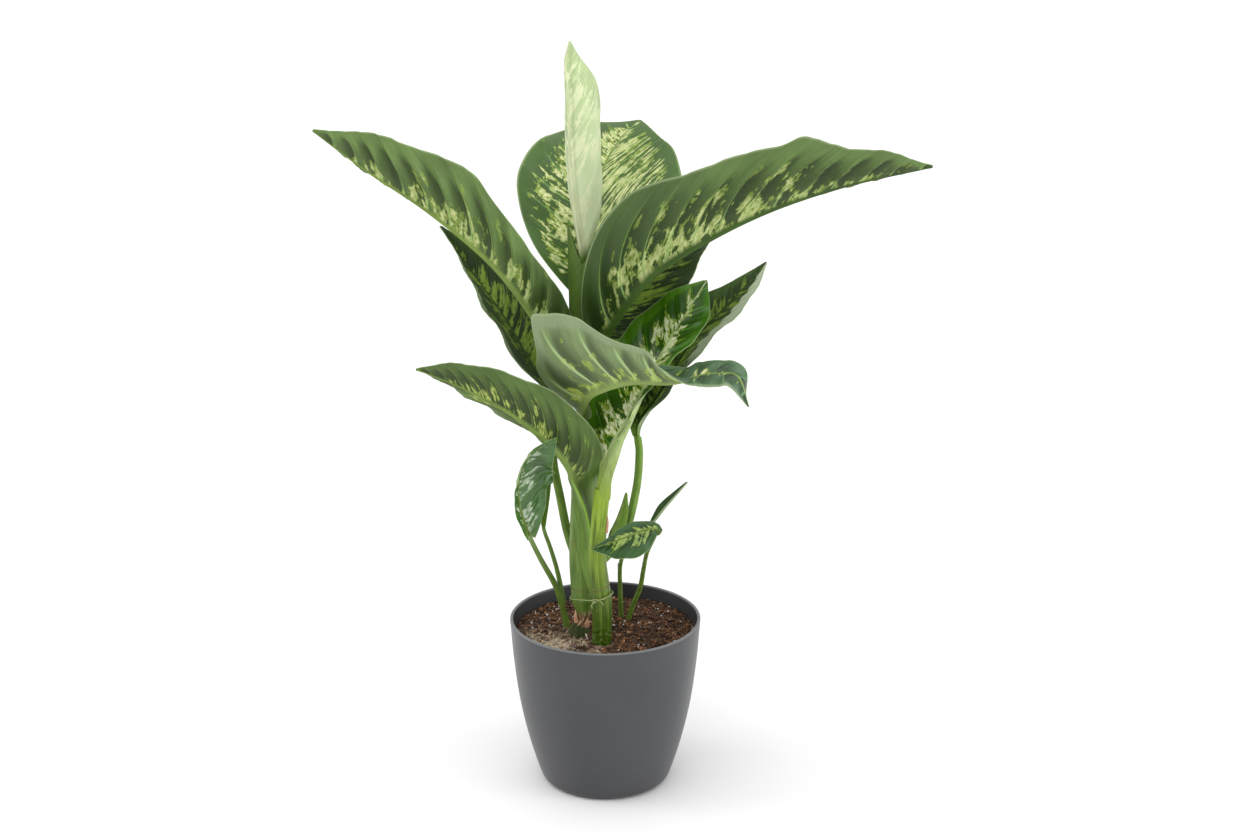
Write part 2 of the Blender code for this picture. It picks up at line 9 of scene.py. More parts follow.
import bmesh
import bpy
import numpy as np
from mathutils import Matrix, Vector


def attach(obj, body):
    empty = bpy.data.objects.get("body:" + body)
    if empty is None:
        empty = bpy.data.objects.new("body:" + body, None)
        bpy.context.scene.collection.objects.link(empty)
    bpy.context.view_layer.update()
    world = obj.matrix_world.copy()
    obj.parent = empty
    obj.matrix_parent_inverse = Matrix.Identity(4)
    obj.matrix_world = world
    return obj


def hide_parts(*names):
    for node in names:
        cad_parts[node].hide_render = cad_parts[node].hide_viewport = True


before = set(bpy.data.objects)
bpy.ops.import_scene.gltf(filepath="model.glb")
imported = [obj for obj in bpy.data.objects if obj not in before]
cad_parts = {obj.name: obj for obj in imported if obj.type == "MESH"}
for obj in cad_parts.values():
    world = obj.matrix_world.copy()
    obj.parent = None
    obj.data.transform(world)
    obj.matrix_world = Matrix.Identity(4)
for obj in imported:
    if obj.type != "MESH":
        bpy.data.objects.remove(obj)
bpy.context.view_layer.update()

MM = 0.001

# Camera: the photograph's viewpoint.
FRAME_WIDTH = 1248
FOCAL_PIXELS = 2104.0
SENSOR = 36.0
CAMERA_PLACE = (0.0177, -1.848, 0.9274)
CAMERA_PITCH = math.radians(17.04)

# Light of the white tent: low down, overhead, and what the sides and the back add.
TENT_LOW = 0.14
TENT_TOP = 0.85
TENT_SIDE = 0.30
TENT_BACK = 0.55
# The share of it that is left behind the camera.
TENT_FRONT = 0.35
# Softboxes: the way that each one's light comes from, its strength and how many degrees wide it looks.
SOFTBOXES = (
    ((-0.13, -0.36, 0.90), 1.32, 58.0),
    ((0.90, -0.30, 0.20), 1.25, 34.0),
    ((-0.92, 0.05, 0.36), 0.75, 30.0),
    ((0.00, -0.92, 0.30), 0.55, 40.0),
)
FLOOR_HALF_WIDTH = 15.0

POT_HEIGHT = 163.0
POT_RIM_RADIUS = 90.0
POT_WALL = 3.0
POT_FLOOR = 4.0
POT_FLOOR_RADIUS = 52.0
LIP_HEIGHT = 0.9
# Height and outer radius, from the underside up.
POT_OUTER = (
    (0.0, 50.0), (0.6, 54.0), (2.0, 58.3), (4.5, 61.0), (8.0, 62.6), (25.0, 68.3),
    (50.0, 75.1), (82.0, 81.7), (123.0, 87.0), (162.2, 90.0),
)
ROUND_SIDES = 160

SOIL_EDGE_HEIGHT = 149.0
SOIL_CROWN = 3.5
SOIL_RADIUS = 86.0
SOIL_RINGS = 90
# Height and radius where the soil's side bends, and of its flat underside.
SOIL_WAIST = (120.0, 83.0)
SOIL_FOOT = (6.0, 55.0)
# Grains on the soil: how many, and their least and greatest size.
CRUMB_COUNT = 3500
CRUMB_SIZES = (0.9, 4.8)
PERLITE_COUNT = 170
PERLITE_SIZES = (1.0, 2.8)
# Places and radii round the stems where no grain lies.
KEEP_OFF = ((-25, -15, 9.0), (-3, -35, 10.8), (-36, 0, 4.5), (15, 27, 3.5), (22, 20, 3.8), (14, 45, 2.5))

RIB_END_RADIUS = 0.6
BLADE_THICKNESS = 0.8
MARGIN_THICKNESS = 0.45
# Rows along a blade and columns from its rib to its margin, in a large leaf and in a small one.
LARGE_GRID = (144, 32)
SMALL_GRID = (70, 16)
RIB_COLUMNS = 4
STALK_ROWS = 44
# One unit of width in the map of the side veins.
VEIN_UNIT = 20.0

CANE_SIDES = 64
CANE_ROWS = 260
# The heights between which the lumpy foot passes over into the smooth cane.
STUMP_TOP = (162, 172)
# joints: heights of the leaf scars. greens: low, high and the pale streaks. moss: the height up to which the
# foot is old and dark.
CANES = {
    "cane_main": dict(
        points=(
            (-25, -15, 124), (-25, -15, 152), (-24, -15, 158), (-21, -15, 165), (-20, -14, 173),
            (-21, -13, 185), (-23, -8, 224), (-22, -4, 263), (-19, 0, 330), (-17, 0, 378), (-18, 0, 430),
            (-18, 0, 442),
        ),
        radii=(9.4, 9.8, 8.2, 4.4, 7.2, 10.4, 10.6, 10.4, 9.5, 9.0, 8.4, 8.2),
        joints=(196, 240, 290, 335, 372, 400, 424),
        greens=((0.11, 0.20, 0.03), (0.145, 0.238, 0.042), (0.25, 0.35, 0.09)),
        moss=162.0,
    ),
    "cane_second": dict(
        points=(
            (-3, -35, 124), (-3, -35, 152), (-3, -34, 191), (-7, -30, 233), (-5, -27, 271), (-2, -25, 299),
        ),
        radii=(8.6, 8.6, 9.5, 8.2, 7.4, 7.1),
        joints=(206, 248),
        greens=((0.050, 0.100, 0.005), (0.26, 0.40, 0.036), (0.34, 0.46, 0.075)),
        moss=120.0,
    ),
}

STUB_POINTS = ((14, 45, 126), (14, 45, 160), (13, 46, 181), (12, 48, 198))
STUB_RADII = (1.4, 1.3, 1.1, 0.5)
STUB_SIDES = 16
STUB_ROWS = 60

# Centre and radius of each cane at the tie.
TIE_ROUND = ((-21.2, -12.8, 10.7), (-3.0, -34.1, 9.6))
# The tie's height at the pot's axis, and its slope along X and Y.
TIE_HEIGHT = 197.5
TIE_TILT = (0.337, -0.03)
TIE_RADIUS = 0.7
TIE_SIDES = 12
# Steps of the tie round each cane.
TIE_STEPS = 40
# From the knot's middle: its two loose ends and its turn.
TIE_KNOT = (
    ((0, 0, 0), (2.5, -1.5, 1.2), (5.5, -2.0, -0.8), (7.0, -1.0, -3.5)),
    ((0, 0, 0), (-2.0, -1.8, -1.5), (-3.5, -1.5, -4.5), (-3.0, -1.0, -7.0)),
    ((-2.2, 0.3, 0.8), (0, -1.3, 1.6), (2.2, 0.3, 0.4), (0, -1.2, -1.6), (-1.8, 0.2, -0.6)),
)
KNOT_SIDES = 10
KNOT_ROWS = 30

# Each: foot, way out from the cane, height and width.
SCALES = (
    ((2.5, -31.0, 258.0), (0.8, -0.55, 0.0), 17.0, 3.6),
    ((-27.5, -19.0, 164.0), (-0.5, -0.85, 0.0), 13.0, 4.5),
    ((-17.0, -19.5, 160.0), (0.4, -0.9, 0.0), 9.0, 6.0),
)

# stalk: the petiole's path, from its foot to the blade. rib: the path from there to the tip.
# radius: of the petiole's foot and top. rib_taper: how fast the rib thins towards the tip.
# face: the way the upper side looks, at even steps along the blade. foot_face: the same at the foot.
# left, right: half widths at even steps. left_frill, right_frill: bumps of the margin, each with its place
# along the blade, its spread and its height.
# fold, curl: degrees up from flat at the rib, and how much more of it out to the margin, left and right.
# sweep: how far the margin runs ahead of the rib. lobe: how far the base hangs back beside the petiole.
# wave, waves: the height of the margin's waves, left and right, and how many lie along the blade.
# opening: the length below the base over which the blade narrows to the petiole.
# blend: the blade's half width, in petiole radii, at which a round petiole has become a blade.
# wings: half widths of the sheath along the petiole, with wing_fold and wing_curl as its fold and curl.
SHAPE = dict(
    curl=((0,), (0,)), sweep=0.10, lobe=0.03, wave=(2.0, 2.0), waves=4.0, left_frill=(), right_frill=(),
    rib_taper=1.4, blend=2.3, wings=None,
)
SMOOTH = dict(SHAPE, lobe=0.0, wave=(0, 0))
LEAVES = {
    "leaf_back": dict(
        SHAPE, stalk=((-18, 2, 424), (-15, 13, 447), (-14, 24, 470)),
        rib=((-12, 55, 520), (-3, 100, 568), (15, 145, 593), (33, 175, 606)), radius=(4.8, 3.8),
        face=((-0.1, -0.75, 0.6), (-0.05, -0.6, 0.8), (-0.1, -0.4, 0.9)),
        left=(10, 47, 68, 76, 68, 48, 1), right=(16, 50, 70, 78, 72, 50, 1),
        fold=((12, 6, 2), (15, 0, 14)), curl=((6, 4, -8), (6, 4, -8)),
    ),
    "leaf_upper_left": dict(
        SHAPE, stalk=((-20, 0, 373), (-30, -4, 393), (-48, -8, 429)),
        rib=((-63, -12, 459), (-97, -20, 507), (-153, -30, 558), (-208, -32, 596), (-253, -30, 630)),
        radius=(5.0, 4.2), face=((0.3, 0.55, 0.6), (0.3, 0.55, 0.6), (0.25, 0.45, 0.7)),
        left=(22, 36, 41, 44, 52, 44, 32, 1), right=(18, 40, 50, 54, 54, 44, 28, 1),
        fold=((22, 34, 30), (42, 38, 25)), curl=((10, 8, 0), (0, -10, 0)),
        left_frill=((0.55, 0.05, 3), (0.28, 0.13, -6), (0.8, 0.06, 2)),
    ),
    "leaf_upper_right": dict(
        SHAPE, stalk=((-11, -4, 398), (-7, -12, 423), (0, -18, 443)),
        rib=(
            (14, -24, 468), (44, -30, 504), (83, -36, 531), (140, -40, 560), (206, -40, 582), (287, -35, 599),
        ),
        radius=(6.2, 5.6), face=((-0.25, 0.55, 0.6), (-0.2, 0.55, 0.65), (-0.15, 0.45, 0.75)),
        left=(14, 50, 68, 70, 60, 46, 26, 1), right=(10, 52, 76, 70, 60, 52, 31, 1),
        fold=((42, 38, 25), (18, 29, 22)), curl=((0, -10, 0), (10, 8, 0)), left_frill=((0.06, 0.06, -8),),
        right_frill=((0.70, 0.035, 7), (0.80, 0.04, -5), (0.9, 0.04, 3), (0.45, 0.08, -3)),
    ),
    "leaf_mid_left": dict(
        SHAPE, radius=(4.2, 3.6),
        stalk=((-27, 0, 221), (-35, 4, 245), (-42, 12, 278), (-48, 18, 310), (-49, 21, 340), (-45, 22, 369)),
        rib=((-65, 35, 393), (-93, 60, 436), (-126, 80, 479), (-155, 90, 520)),
        face=((0.35, -0.55, 0.5), (0.4, -0.55, 0.5), (0.3, -0.4, 0.7)),
        left=(14, 34, 40, 36, 24, 10, 1), right=(14, 34, 46, 46, 34, 17, 1),
        fold=((46, 36, 38), (15, 15, 15)),
    ),
    "leaf_behind": dict(
        SHAPE, stalk=((-16, 6, 403), (-17, 14, 422), (-16, 22, 437)),
        rib=((16, 45, 461), (59, 75, 490), (104, 95, 513)), radius=(4.2, 3.4), lobe=0.14,
        face=((-0.3, -0.5, 0.6), (-0.3, -0.45, 0.7), (-0.2, -0.3, 0.8)),
        left=(5, 30, 48, 44, 28, 1), right=(30, 52, 50, 41, 27, 1), fold=((20, 15, 15), (-30, -4, 20)),
    ),
    "leaf_mid_right": dict(
        SHAPE, stalk=((-2, -22, 228), (16, -6, 243), (29, 12, 285), (32, 22, 318), (31, 30, 340)),
        rib=((51, 45, 368), (80, 65, 411), (120, 85, 449), (153, 100, 483)), radius=(4.2, 3.6), lobe=0.0,
        face=((-0.3, -0.6, 0.3), (-0.2, -0.6, 0.5), (-0.26, -0.5, 0.63)), opening=9.0,
        left=(8, 30, 38, 36, 27, 13, 1), right=(26, 44, 41, 37, 31, 20, 1), fold=((15, 12, 10), (65, 41, 10)),
    ),
    "leaf_front": dict(
        SHAPE, stalk=((-17, -4, 341), (-22, -14, 358), (-22, -22, 375)),
        rib=(
            (-14, -35, 393), (0, -50, 404), (26, -80, 418), (60, -118, 428),
            (92, -150, 444), (112, -168, 447), (122, -175, 422),
        ),
        radius=(5.2, 4.4), sweep=0.07, lobe=0.04,
        face=(
            (0.0, -0.25, 0.87), (0.34, -0.12, 0.82), (0.17, 0.2, 0.9), (0.43, -0.44, 0.7), (0.62, -0.4, 0.5),
        ),
        left=(12, 17, 24, 31, 28, 18, 14, 1), right=(10, 79, 75, 47, 36, 28, 17, 1),
        fold=((24, 28, 33, 29, -45), (70, 42, 37, -19, -35)),
        right_frill=(
            (0.165, 0.02, 9), (0.11, 0.026, -8), (0.24, 0.03, -1.5), (0.33, 0.03, 2), (0.43, 0.03, -2),
        ),
    ),
    "leaf_front_right": dict(
        SHAPE, stalk=((-2, -25, 290), (1, -28, 312), (8, -31, 340)),
        rib=((21, -36, 367), (34, -36, 394), (48, -32, 423), (68, -22, 455), (92, -15, 493)),
        radius=(7.3, 5.4), rib_taper=2.6, opening=48.0, blend=5.0, lobe=0.0,
        face=((-0.8, -0.4, 0.3), (-0.55, -0.55, 0.4), (-0.1, -0.6, 0.45), (0.15, -0.6, 0.4)),
        left=(34, 54, 51, 46, 42, 26, 1), right=(5, 10, 18, 25, 25, 21, 1),
        fold=((24, 10, -20, 20), (41, 39, 23, -40)),
    ),
    "leaf_lower_left": dict(
        SHAPE, stalk=((-5, -34, 182), (-13, -27, 231), (-16, -21, 264), (-23, -19, 291), (-30, -22, 315)),
        rib=((-43, -28, 337), (-75, -36, 369), (-117, -42, 396), (-161, -44, 416), (-168, -44, 418)),
        radius=(3.6, 4.0), lobe=0.05, foot_face=(-0.3, 0.95, 0.1),
        face=((0.3, 0.6, 0.5), (0.25, 0.6, 0.55), (0.2, 0.5, 0.6)),
        left=(28, 41, 43, 40, 34, 24, 1), right=(14, 36, 42, 40, 34, 22, 1),
        fold=((25, 22, 20), (33, 17, 16)), curl=((10, 5, 0), (0,)),
        wings=((2, 4, 17, 27, 28, 28), (2, 11, 15, 17, 14, 14)), wing_fold=(28, 28), wing_curl=(45, 50),
    ),
    "sheath_top": dict(
        SMOOTH, stalk=((-30, 0, 414), (-30, 0, 418), (-30, 0, 422)),
        rib=((-30, 0, 460), (-31, 0, 500), (-32, 0, 542)), radius=(1.5, 1.5), opening=2.0, sweep=0.0,
        face=((1, 0, 0),), left=(28, 28, 26, 23, 16, 8, 1), right=(28, 28, 26, 23, 16, 8, 1),
        fold=((4,), (4,)), curl=((170, 165, 150, 135, 105, 70, 30), (170, 165, 150, 135, 105, 70, 30)),
    ),
    "leaf_spear": dict(
        SMOOTH, stalk=((-20, 0, 487), (-20, 0, 500), (-21, 0, 518)),
        rib=((-27, -2, 564), (-30, -2, 609), (-31, -1, 657), (-33, 1, 684), (-30, 2, 703)),
        radius=(4.5, 3.0), sweep=0.02, face=((0.3, 0.9, 0.1),),
        left=(14, 40, 54, 60, 62, 62, 58, 36, 1), right=(14, 32, 40, 44, 44, 42, 34, 20, 1),
        fold=((10,), (20,)), curl=((120, 150, 150, 120), (230,)),
    ),
    "shoot_left_leaf": dict(
        SHAPE, radius=(3.5, 2.2), lobe=0.05, wave=(0.6, 3.0), waves=5.0,
        stalk=(
            (-34, 1, 126), (-36, 0, 150), (-41, -4, 177), (-46, -8, 196), (-60, -20, 229), (-71, -30, 259),
        ),
        rib=((-78, -38, 289), (-77, -45, 316), (-67, -48, 338), (-43, -45, 354)),
        face=((0.21, -0.82, 0.13), (0.71, -0.56, -0.09), (0.63, -0.58, 0.25)),
        left=(4, 7, 11, 10, 8, 6, 1), right=(7, 21, 27, 34, 32, 22, 1), fold=((30,), (27,)),
    ),
    "shoot_left_spear": dict(
        SMOOTH, stalk=((-39, -2, 178), (-45, -6, 212), (-51, -12, 237), (-57, -15, 258)),
        rib=((-58, -14, 275), (-56, -12, 297), (-50, -8, 320)), radius=(2.5, 1.8), sweep=0.05,
        face=((0.3, -0.8, 0.2),), left=(3, 7, 7, 1), right=(3, 7, 7, 1), fold=((50,), (50,)),
    ),
    "shoot_right_leaf": dict(
        SHAPE, radius=(2.8, 1.8), wave=(1, 1),
        stalk=(
            (19, 24, 126), (22, 20, 150), (26, 16, 167), (33, 8, 189),
            (36, -2, 211), (39, -14, 232), (47, -24, 259),
        ),
        rib=((32, -31, 259), (15, -42, 256), (-12, -52, 250)),
        face=((-0.2, -0.6, 0.8), (-0.1, -0.6, 0.8), (-0.1, -0.5, 0.8)),
        left=(4, 21, 26, 20, 1), right=(6, 11, 10, 5, 1), fold=((5,), (15,)),
    ),
    "shoot_right_spear": dict(
        SMOOTH, radius=(2.6, 1.6), sweep=0.05,
        stalk=((15, 28, 126), (15, 27, 151), (14, 24, 181), (15, 18, 212), (26, 12, 237), (44, 8, 254)),
        rib=((55, 8, 268), (77, 12, 293)), face=((-0.5, -0.6, 0.4),),
        left=(3, 6, 4, 1), right=(3, 7, 5, 1), fold=((20,), (60,)),
    ),
    "sheath_right": dict(
        SMOOTH, stalk=((-3, -20, 236), (4, -16, 240), (7, -12, 246)), rib=((13, -4, 260), (20, 2, 286)),
        radius=(4.0, 3.6), sweep=0.0, face=((0.7, 0.2, -0.2),), left=(6, 8, 6, 1), right=(6, 8, 6, 1),
        fold=((30,), (30,)), curl=((50,), (50,)),
    ),
}

# Colours are linear.
CANE_GREEN = (0.27, 0.40, 0.042)

# veins: how many on a side. lean, bend: how much they slope to the tip at the rib, from base to tip, and how
# much more out to the margin. pleat: the relief of the folds between them.
# upper, under: the green of each side. rib, stalk: the colours of the rib and the petiole.
# marks, reach: how much of the middle the pale marks fill, and how far out they go.
# pale, lime: the colours of the marks and their rims. The keys with under_ say the same of the underside.
# across: how many streaks lie between two veins. patchy, ragged: how much broad patches and small blotches
# break up the marks. blotch: how small the blotches are. pull: how much the marks keep to the veins.
# band, band_end: strength of the painted shade beside the veins and of the
# painted highlights on the pleats' ridges, and how far out they end.
# inner: how dark the ground is under the marks. lines: light lines on the veins. groove: painted shadow in a
# thin line on each side of the rib.
# edge: a strip along one margin, with its side (1 is left), inner limit, strength and start.
# root: a change of colour at the blade's base, painted shade on the upper leaves and painted light on the
# spear, with its strength, colour and reach.
# keel_shading: a painted highlight along the petiole's keel, with painted shade beside it. foot: how much the
# petiole's foot is cane green.
# rough, under_rough: roughness of each side. shine: how much light the surface mirrors.
MATURE = dict(
    veins=12.0, lean=(0.5, 0.85, 1.0), bend=0.5, pleat=1.6,
    upper=(0.085, 0.190, 0.022), under=(0.125, 0.215, 0.045),
    rib=(0.22, 0.33, 0.06), stalk=(0.16, 0.27, 0.04),
    marks=0.50, reach=0.80, pale=(0.74, 0.76, 0.40), lime=(0.30, 0.42, 0.05),
    under_marks=0.42, under_reach=0.62, under_pale=(0.62, 0.68, 0.30), under_lime=(0.27, 0.38, 0.06),
    across=5.0, patchy=0.5, ragged=0.45, blotch=120.0, pull=0.03,
    band=0.55, band_end=0.60, inner=0.7, lines=0.6, groove=0.0,
    edge=(1, 0.9, 0.0, 0.0), edge_colour=(0.32, 0.40, 0.23), root=(0.0, (0, 0, 0), 0.3),
    keel_shading=0.0, foot=0.0, rough=0.34, under_rough=0.46, shine=0.4,
)
YOUNG = dict(
    MATURE, veins=8.0, pleat=1.0, upper=(0.055, 0.180, 0.008), under=(0.20, 0.33, 0.07),
    marks=0.45, reach=0.6, band=0.3, rough=0.17,
)
# Leaves deep in the plant: their own dark upper green, darkened further with painted shade, and pale marks
# dimmed to yellow-green by painted shade.
DARK_AND_SHADED = dict(
    MATURE, pleat=0.8, upper=(0.040, 0.080, 0.014), rib=(0.05, 0.10, 0.02), reach=1.1,
    pale=(0.22, 0.33, 0.04), lime=(0.13, 0.22, 0.02), band=0.25, rough=0.45, shine=0.2,
)
PLAIN = dict(MATURE, pleat=0.0, marks=0.0, under_marks=0.0, band=0.0, inner=0.0, lines=0.0)
LOOKS = {
    "leaf_back": dict(
        MATURE, veins=11.0, lean=((0.2, 0.4, 0.8), (2.0, 2.1, 2.2)), bend=0.2, pleat=0.8,
        upper=(0.090, 0.210, 0.024), marks=0.56, reach=1.7, across=4.0, patchy=0.3, band=0.2,
    ),
    # Its base is darkened with painted shade.
    "leaf_upper_left": dict(
        MATURE, pleat=3.4, under=(0.148, 0.242, 0.062), under_marks=0.34, under_reach=0.85, across=3.2,
        ragged=0.25, pull=0.15, band=0.85, inner=0.4, lines=1.0, root=(0.75, (0.05, 0.10, 0.018), 0.40),
    ),
    # Its rib's dark green is partly its own colour and partly painted shade, and its base is darkened with
    # painted shade.
    "leaf_upper_right": dict(
        MATURE, veins=13.0, pleat=3.4, under=(0.142, 0.232, 0.060), rib=(0.06, 0.13, 0.012),
        under_marks=0.34, under_reach=0.90, across=3.4, patchy=0.7, ragged=0.3, pull=0.12,
        band=1.0, lines=1.0, root=(0.85, (0.030, 0.070, 0.010), 0.80),
    ),
    # Its pale strip along the left margin is a painted reflection.
    "leaf_mid_left": dict(DARK_AND_SHADED, across=3.0, blotch=80.0, edge=(1, 0.80, 0.9, 0.0)),
    # Painted shade: this leaf lies behind the others and is darker still.
    "leaf_behind": dict(DARK_AND_SHADED, upper=(0.028, 0.060, 0.010)),
    "leaf_mid_right": dict(
        DARK_AND_SHADED, upper=(0.05, 0.10, 0.018), stalk=(0.21, 0.36, 0.06), blotch=90.0,
        edge=(-1, 0.45, 0.95, 0.30), edge_colour=(0.50, 0.57, 0.40),
    ),
    "leaf_front": dict(
        MATURE, veins=9.0, lean=(-0.5, -0.3, 0.3), pleat=2.0, upper=(0.085, 0.165, 0.080),
        under=(0.215, 0.30, 0.12), rib=(0.26, 0.36, 0.09), marks=0.3, under_marks=0.10, under_reach=0.8,
        under_pale=(0.52, 0.62, 0.14), pull=0.16, band=0.75, band_end=0.68, inner=0.3, lines=1.0,
        edge=(-1, 0.78, 0.7, 0.0),
    ),
    # Its bright green strip along the left margin is painted light, where light falls through the blade.
    "leaf_front_right": dict(
        YOUNG, lean=(0.1, 0.4, 1.0), rib=(0.42, 0.55, 0.20), stalk=(0.34, 0.46, 0.12), marks=0.48, reach=1.15,
        pale=(0.80, 0.84, 0.56), across=2.2, ragged=0.15, edge=(1, 0.72, 0.8, -1.0),
        edge_colour=(0.09, 0.26, 0.010), foot=1.0,
    ),
    "leaf_lower_left": dict(
        MATURE, pleat=1.2, under=(0.105, 0.182, 0.033), stalk=(0.155, 0.28, 0.030), under_marks=0.24,
        under_reach=0.8, under_pale=(0.58, 0.64, 0.18), patchy=0.7, pull=0.07, band=0.65, keel_shading=1.0,
    ),
    # Its pale foot is painted light, brightening the part that lies in the shade of the leaves around it.
    "leaf_spear": dict(
        MATURE, veins=6.0, lean=(1.6, 1.6, 1.6), bend=0.2, pleat=0.3,
        upper=(0.47, 0.61, 0.28), under=(0.50, 0.64, 0.31), rib=(0.84, 0.90, 0.55),
        marks=0.4, reach=1.5, pale=(0.88, 0.92, 0.62), lime=(0.66, 0.78, 0.40),
        under_marks=0.4, under_reach=1.6, under_pale=(0.88, 0.92, 0.60), under_lime=(0.72, 0.83, 0.48),
        across=3.0, blotch=60.0, band=0.0, inner=0.0, lines=0.2, groove=0.22,
        root=(0.85, (0.86, 0.97, 0.64), 0.85),
    ),
    "sheath_top": dict(
        PLAIN, upper=(0.13, 0.23, 0.04), under=(0.12, 0.21, 0.035), stalk=(0.30, 0.42, 0.10),
        rib=(0.12, 0.21, 0.035),
    ),
    "sheath_right": dict(PLAIN, upper=(0.20, 0.36, 0.03), under=(0.20, 0.36, 0.04)),
    # Its pale marks are painted highlights, whitish reflections on the glossy blade.
    "shoot_left_leaf": dict(
        YOUNG, pleat=1.3, upper=(0.045, 0.14, 0.015), marks=0.55, reach=1.1, pale=(0.58, 0.68, 0.50),
        lime=(0.10, 0.20, 0.06), across=2.0, blotch=90.0, inner=0.0, rough=0.16, shine=0.8,
    ),
    "shoot_left_spear": dict(PLAIN, upper=(0.10, 0.20, 0.02), under=(0.10, 0.20, 0.03)),
    "shoot_right_leaf": dict(
        YOUNG, pleat=0.6, upper=(0.052, 0.125, 0.042), marks=0.60, reach=0.85, pale=(0.42, 0.56, 0.20),
        across=2.0, ragged=0.7, blotch=150.0, pull=0.0,
    ),
    "shoot_right_spear": dict(
        PLAIN, upper=(0.05, 0.11, 0.03), under=(0.22, 0.30, 0.14), edge=(-1, 0.15, 0.9, -1.0),
    ),
}


def unit(v):
    v = np.asarray(v, float)
    return v / np.maximum(np.linalg.norm(v, axis=-1, keepdims=True), 1e-12)


def smoothstep(x, low, high):
    t = np.clip((np.asarray(x, float) - low) / (high - low), 0, 1)
    return t * t * (3 - 2 * t)


def hump(x, width=1.0):
    """1 at x = 0, falling away smoothly on both sides."""
    return np.exp(-((x / width) ** 2))


def scaled(colour, factor):
    return tuple(c * factor for c in colour)


def smooth_path(points, per_span=24):
    """A rounded curve through the points, and the place of each of them in it."""
    p = np.asarray(points, float)
    p = np.vstack([2 * p[0] - p[1], p, 2 * p[-1] - p[-2]])
    curve = []
    for i in range(1, len(p) - 2):
        spans = np.linalg.norm(np.diff(p[i - 1 : i + 3], axis=0), axis=1) ** 0.5
        t = np.concatenate([[0], np.cumsum(spans)])
        u = np.linspace(t[1], t[2], per_span, endpoint=False)[:, None]

        def between(a, b, first, last):
            return (t[last] - u) / (t[last] - t[first]) * a + (u - t[first]) / (t[last] - t[first]) * b

        near = [between(p[i - 1 + k], p[i + k], k, k + 1) for k in range(3)]
        far = [between(near[k], near[k + 1], k, k + 2) for k in range(2)]
        curve.append(between(far[0], far[1], 1, 2))
    curve.append(p[-2][None])
    return np.vstack(curve), [k * per_span for k in range(len(points))]


def arc_length(path):
    return np.concatenate([[0], np.cumsum(np.linalg.norm(np.diff(path, axis=0), axis=1))])


def read_path(d, arc, path):
    """Points at distance d along a path."""
    return np.stack([np.interp(d, arc, path[:, k]) for k in range(3)], -1)


def along(values, t):
    """Values at even steps from 0 to 1, read at t on a smooth curve through them."""
    values = np.asarray(values, float)
    t = np.clip(np.asarray(t, float), 0, 1)
    steps = len(values) - 1
    if steps == 0:
        return np.broadcast_to(values[0], t.shape + values.shape[1:]).copy()
    v = np.concatenate([2 * values[:1] - values[1:2], values, 2 * values[-1:] - values[-2:-1]])
    i = np.minimum((t * steps).astype(int), steps - 1)
    f = t * steps - i
    if values.ndim > 1:
        f = f[..., None]
    a, b, c, d = v[i], v[i + 1], v[i + 2], v[i + 3]
    square = 2 * a - 5 * b + 4 * c - d
    cube = 3 * b - a - 3 * c + d
    return 0.5 * (2 * b + (c - a) * f + square * f**2 + cube * f**3)


def even_angles(count):
    return np.arange(count) * 2 * math.pi / count


def circles(side, other, sides):
    """Unit circles, each across its own two directions."""
    angle = even_angles(sides)
    return side[:, None] * np.cos(angle)[:, None] + other[:, None] * np.sin(angle)[:, None]


def loft(rings, closed=False):
    """Points and faces over rings. Either the last ring meets the first, or both have a cap."""
    count, around = rings.shape[:2]
    index = np.arange(count * around).reshape(count, around)
    a, d = index, np.roll(index, -1, 0)
    if not closed:
        a, d = a[:-1], d[:-1]
    b, c = np.roll(a, -1, 1), np.roll(d, -1, 1)
    faces = np.stack([a, d, c, b], -1).reshape(-1, 4).tolist()
    if not closed:
        faces += [index[0].tolist(), index[-1][::-1].tolist()]
    return rings.reshape(-1, 3), faces


def add_object(name, data):
    obj = bpy.data.objects.new(name, data)
    bpy.context.scene.collection.objects.link(obj)
    return obj


def add_mesh(name, points, faces, node=None, smooth_angle=50.0):
    """An object from points in mm. It rides on the one body and may stand for a CAD node."""
    mesh = bpy.data.meshes.new(name)
    mesh.from_pydata((np.asarray(points) * MM).tolist(), [], faces)
    mesh.validate()
    obj = add_object(name, mesh)
    make_outward(mesh)
    mesh.shade_smooth()
    mesh.set_sharp_from_angle(angle=math.radians(smooth_angle))
    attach(obj, "root")
    if node:
        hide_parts(node)
    return obj


def make_outward(mesh):
    """Turns the faces round if they enclose a negative volume."""
    mesh.calc_loop_triangles()
    points = np.zeros(len(mesh.vertices) * 3)
    mesh.vertices.foreach_get("co", points)
    faces = np.zeros(len(mesh.loop_triangles) * 3, int)
    mesh.loop_triangles.foreach_get("vertices", faces)
    corners = points.reshape(-1, 3)[faces.reshape(-1, 3)]
    if np.linalg.det(corners).sum() < 0:
        mesh.flip_normals()


def add_uv(mesh, name, u, v):
    layer = mesh.uv_layers.new(name=name)
    corner = np.zeros(len(mesh.loops), int)
    mesh.loops.foreach_get("vertex_index", corner)
    layer.data.foreach_set("uv", np.stack([u[corner], v[corner]], -1).astype(np.float32).ravel())


def add_value(mesh, name, values):
    attribute = mesh.attributes.new(name, "FLOAT", "POINT")
    attribute.data.foreach_set("value", np.asarray(values, np.float32))


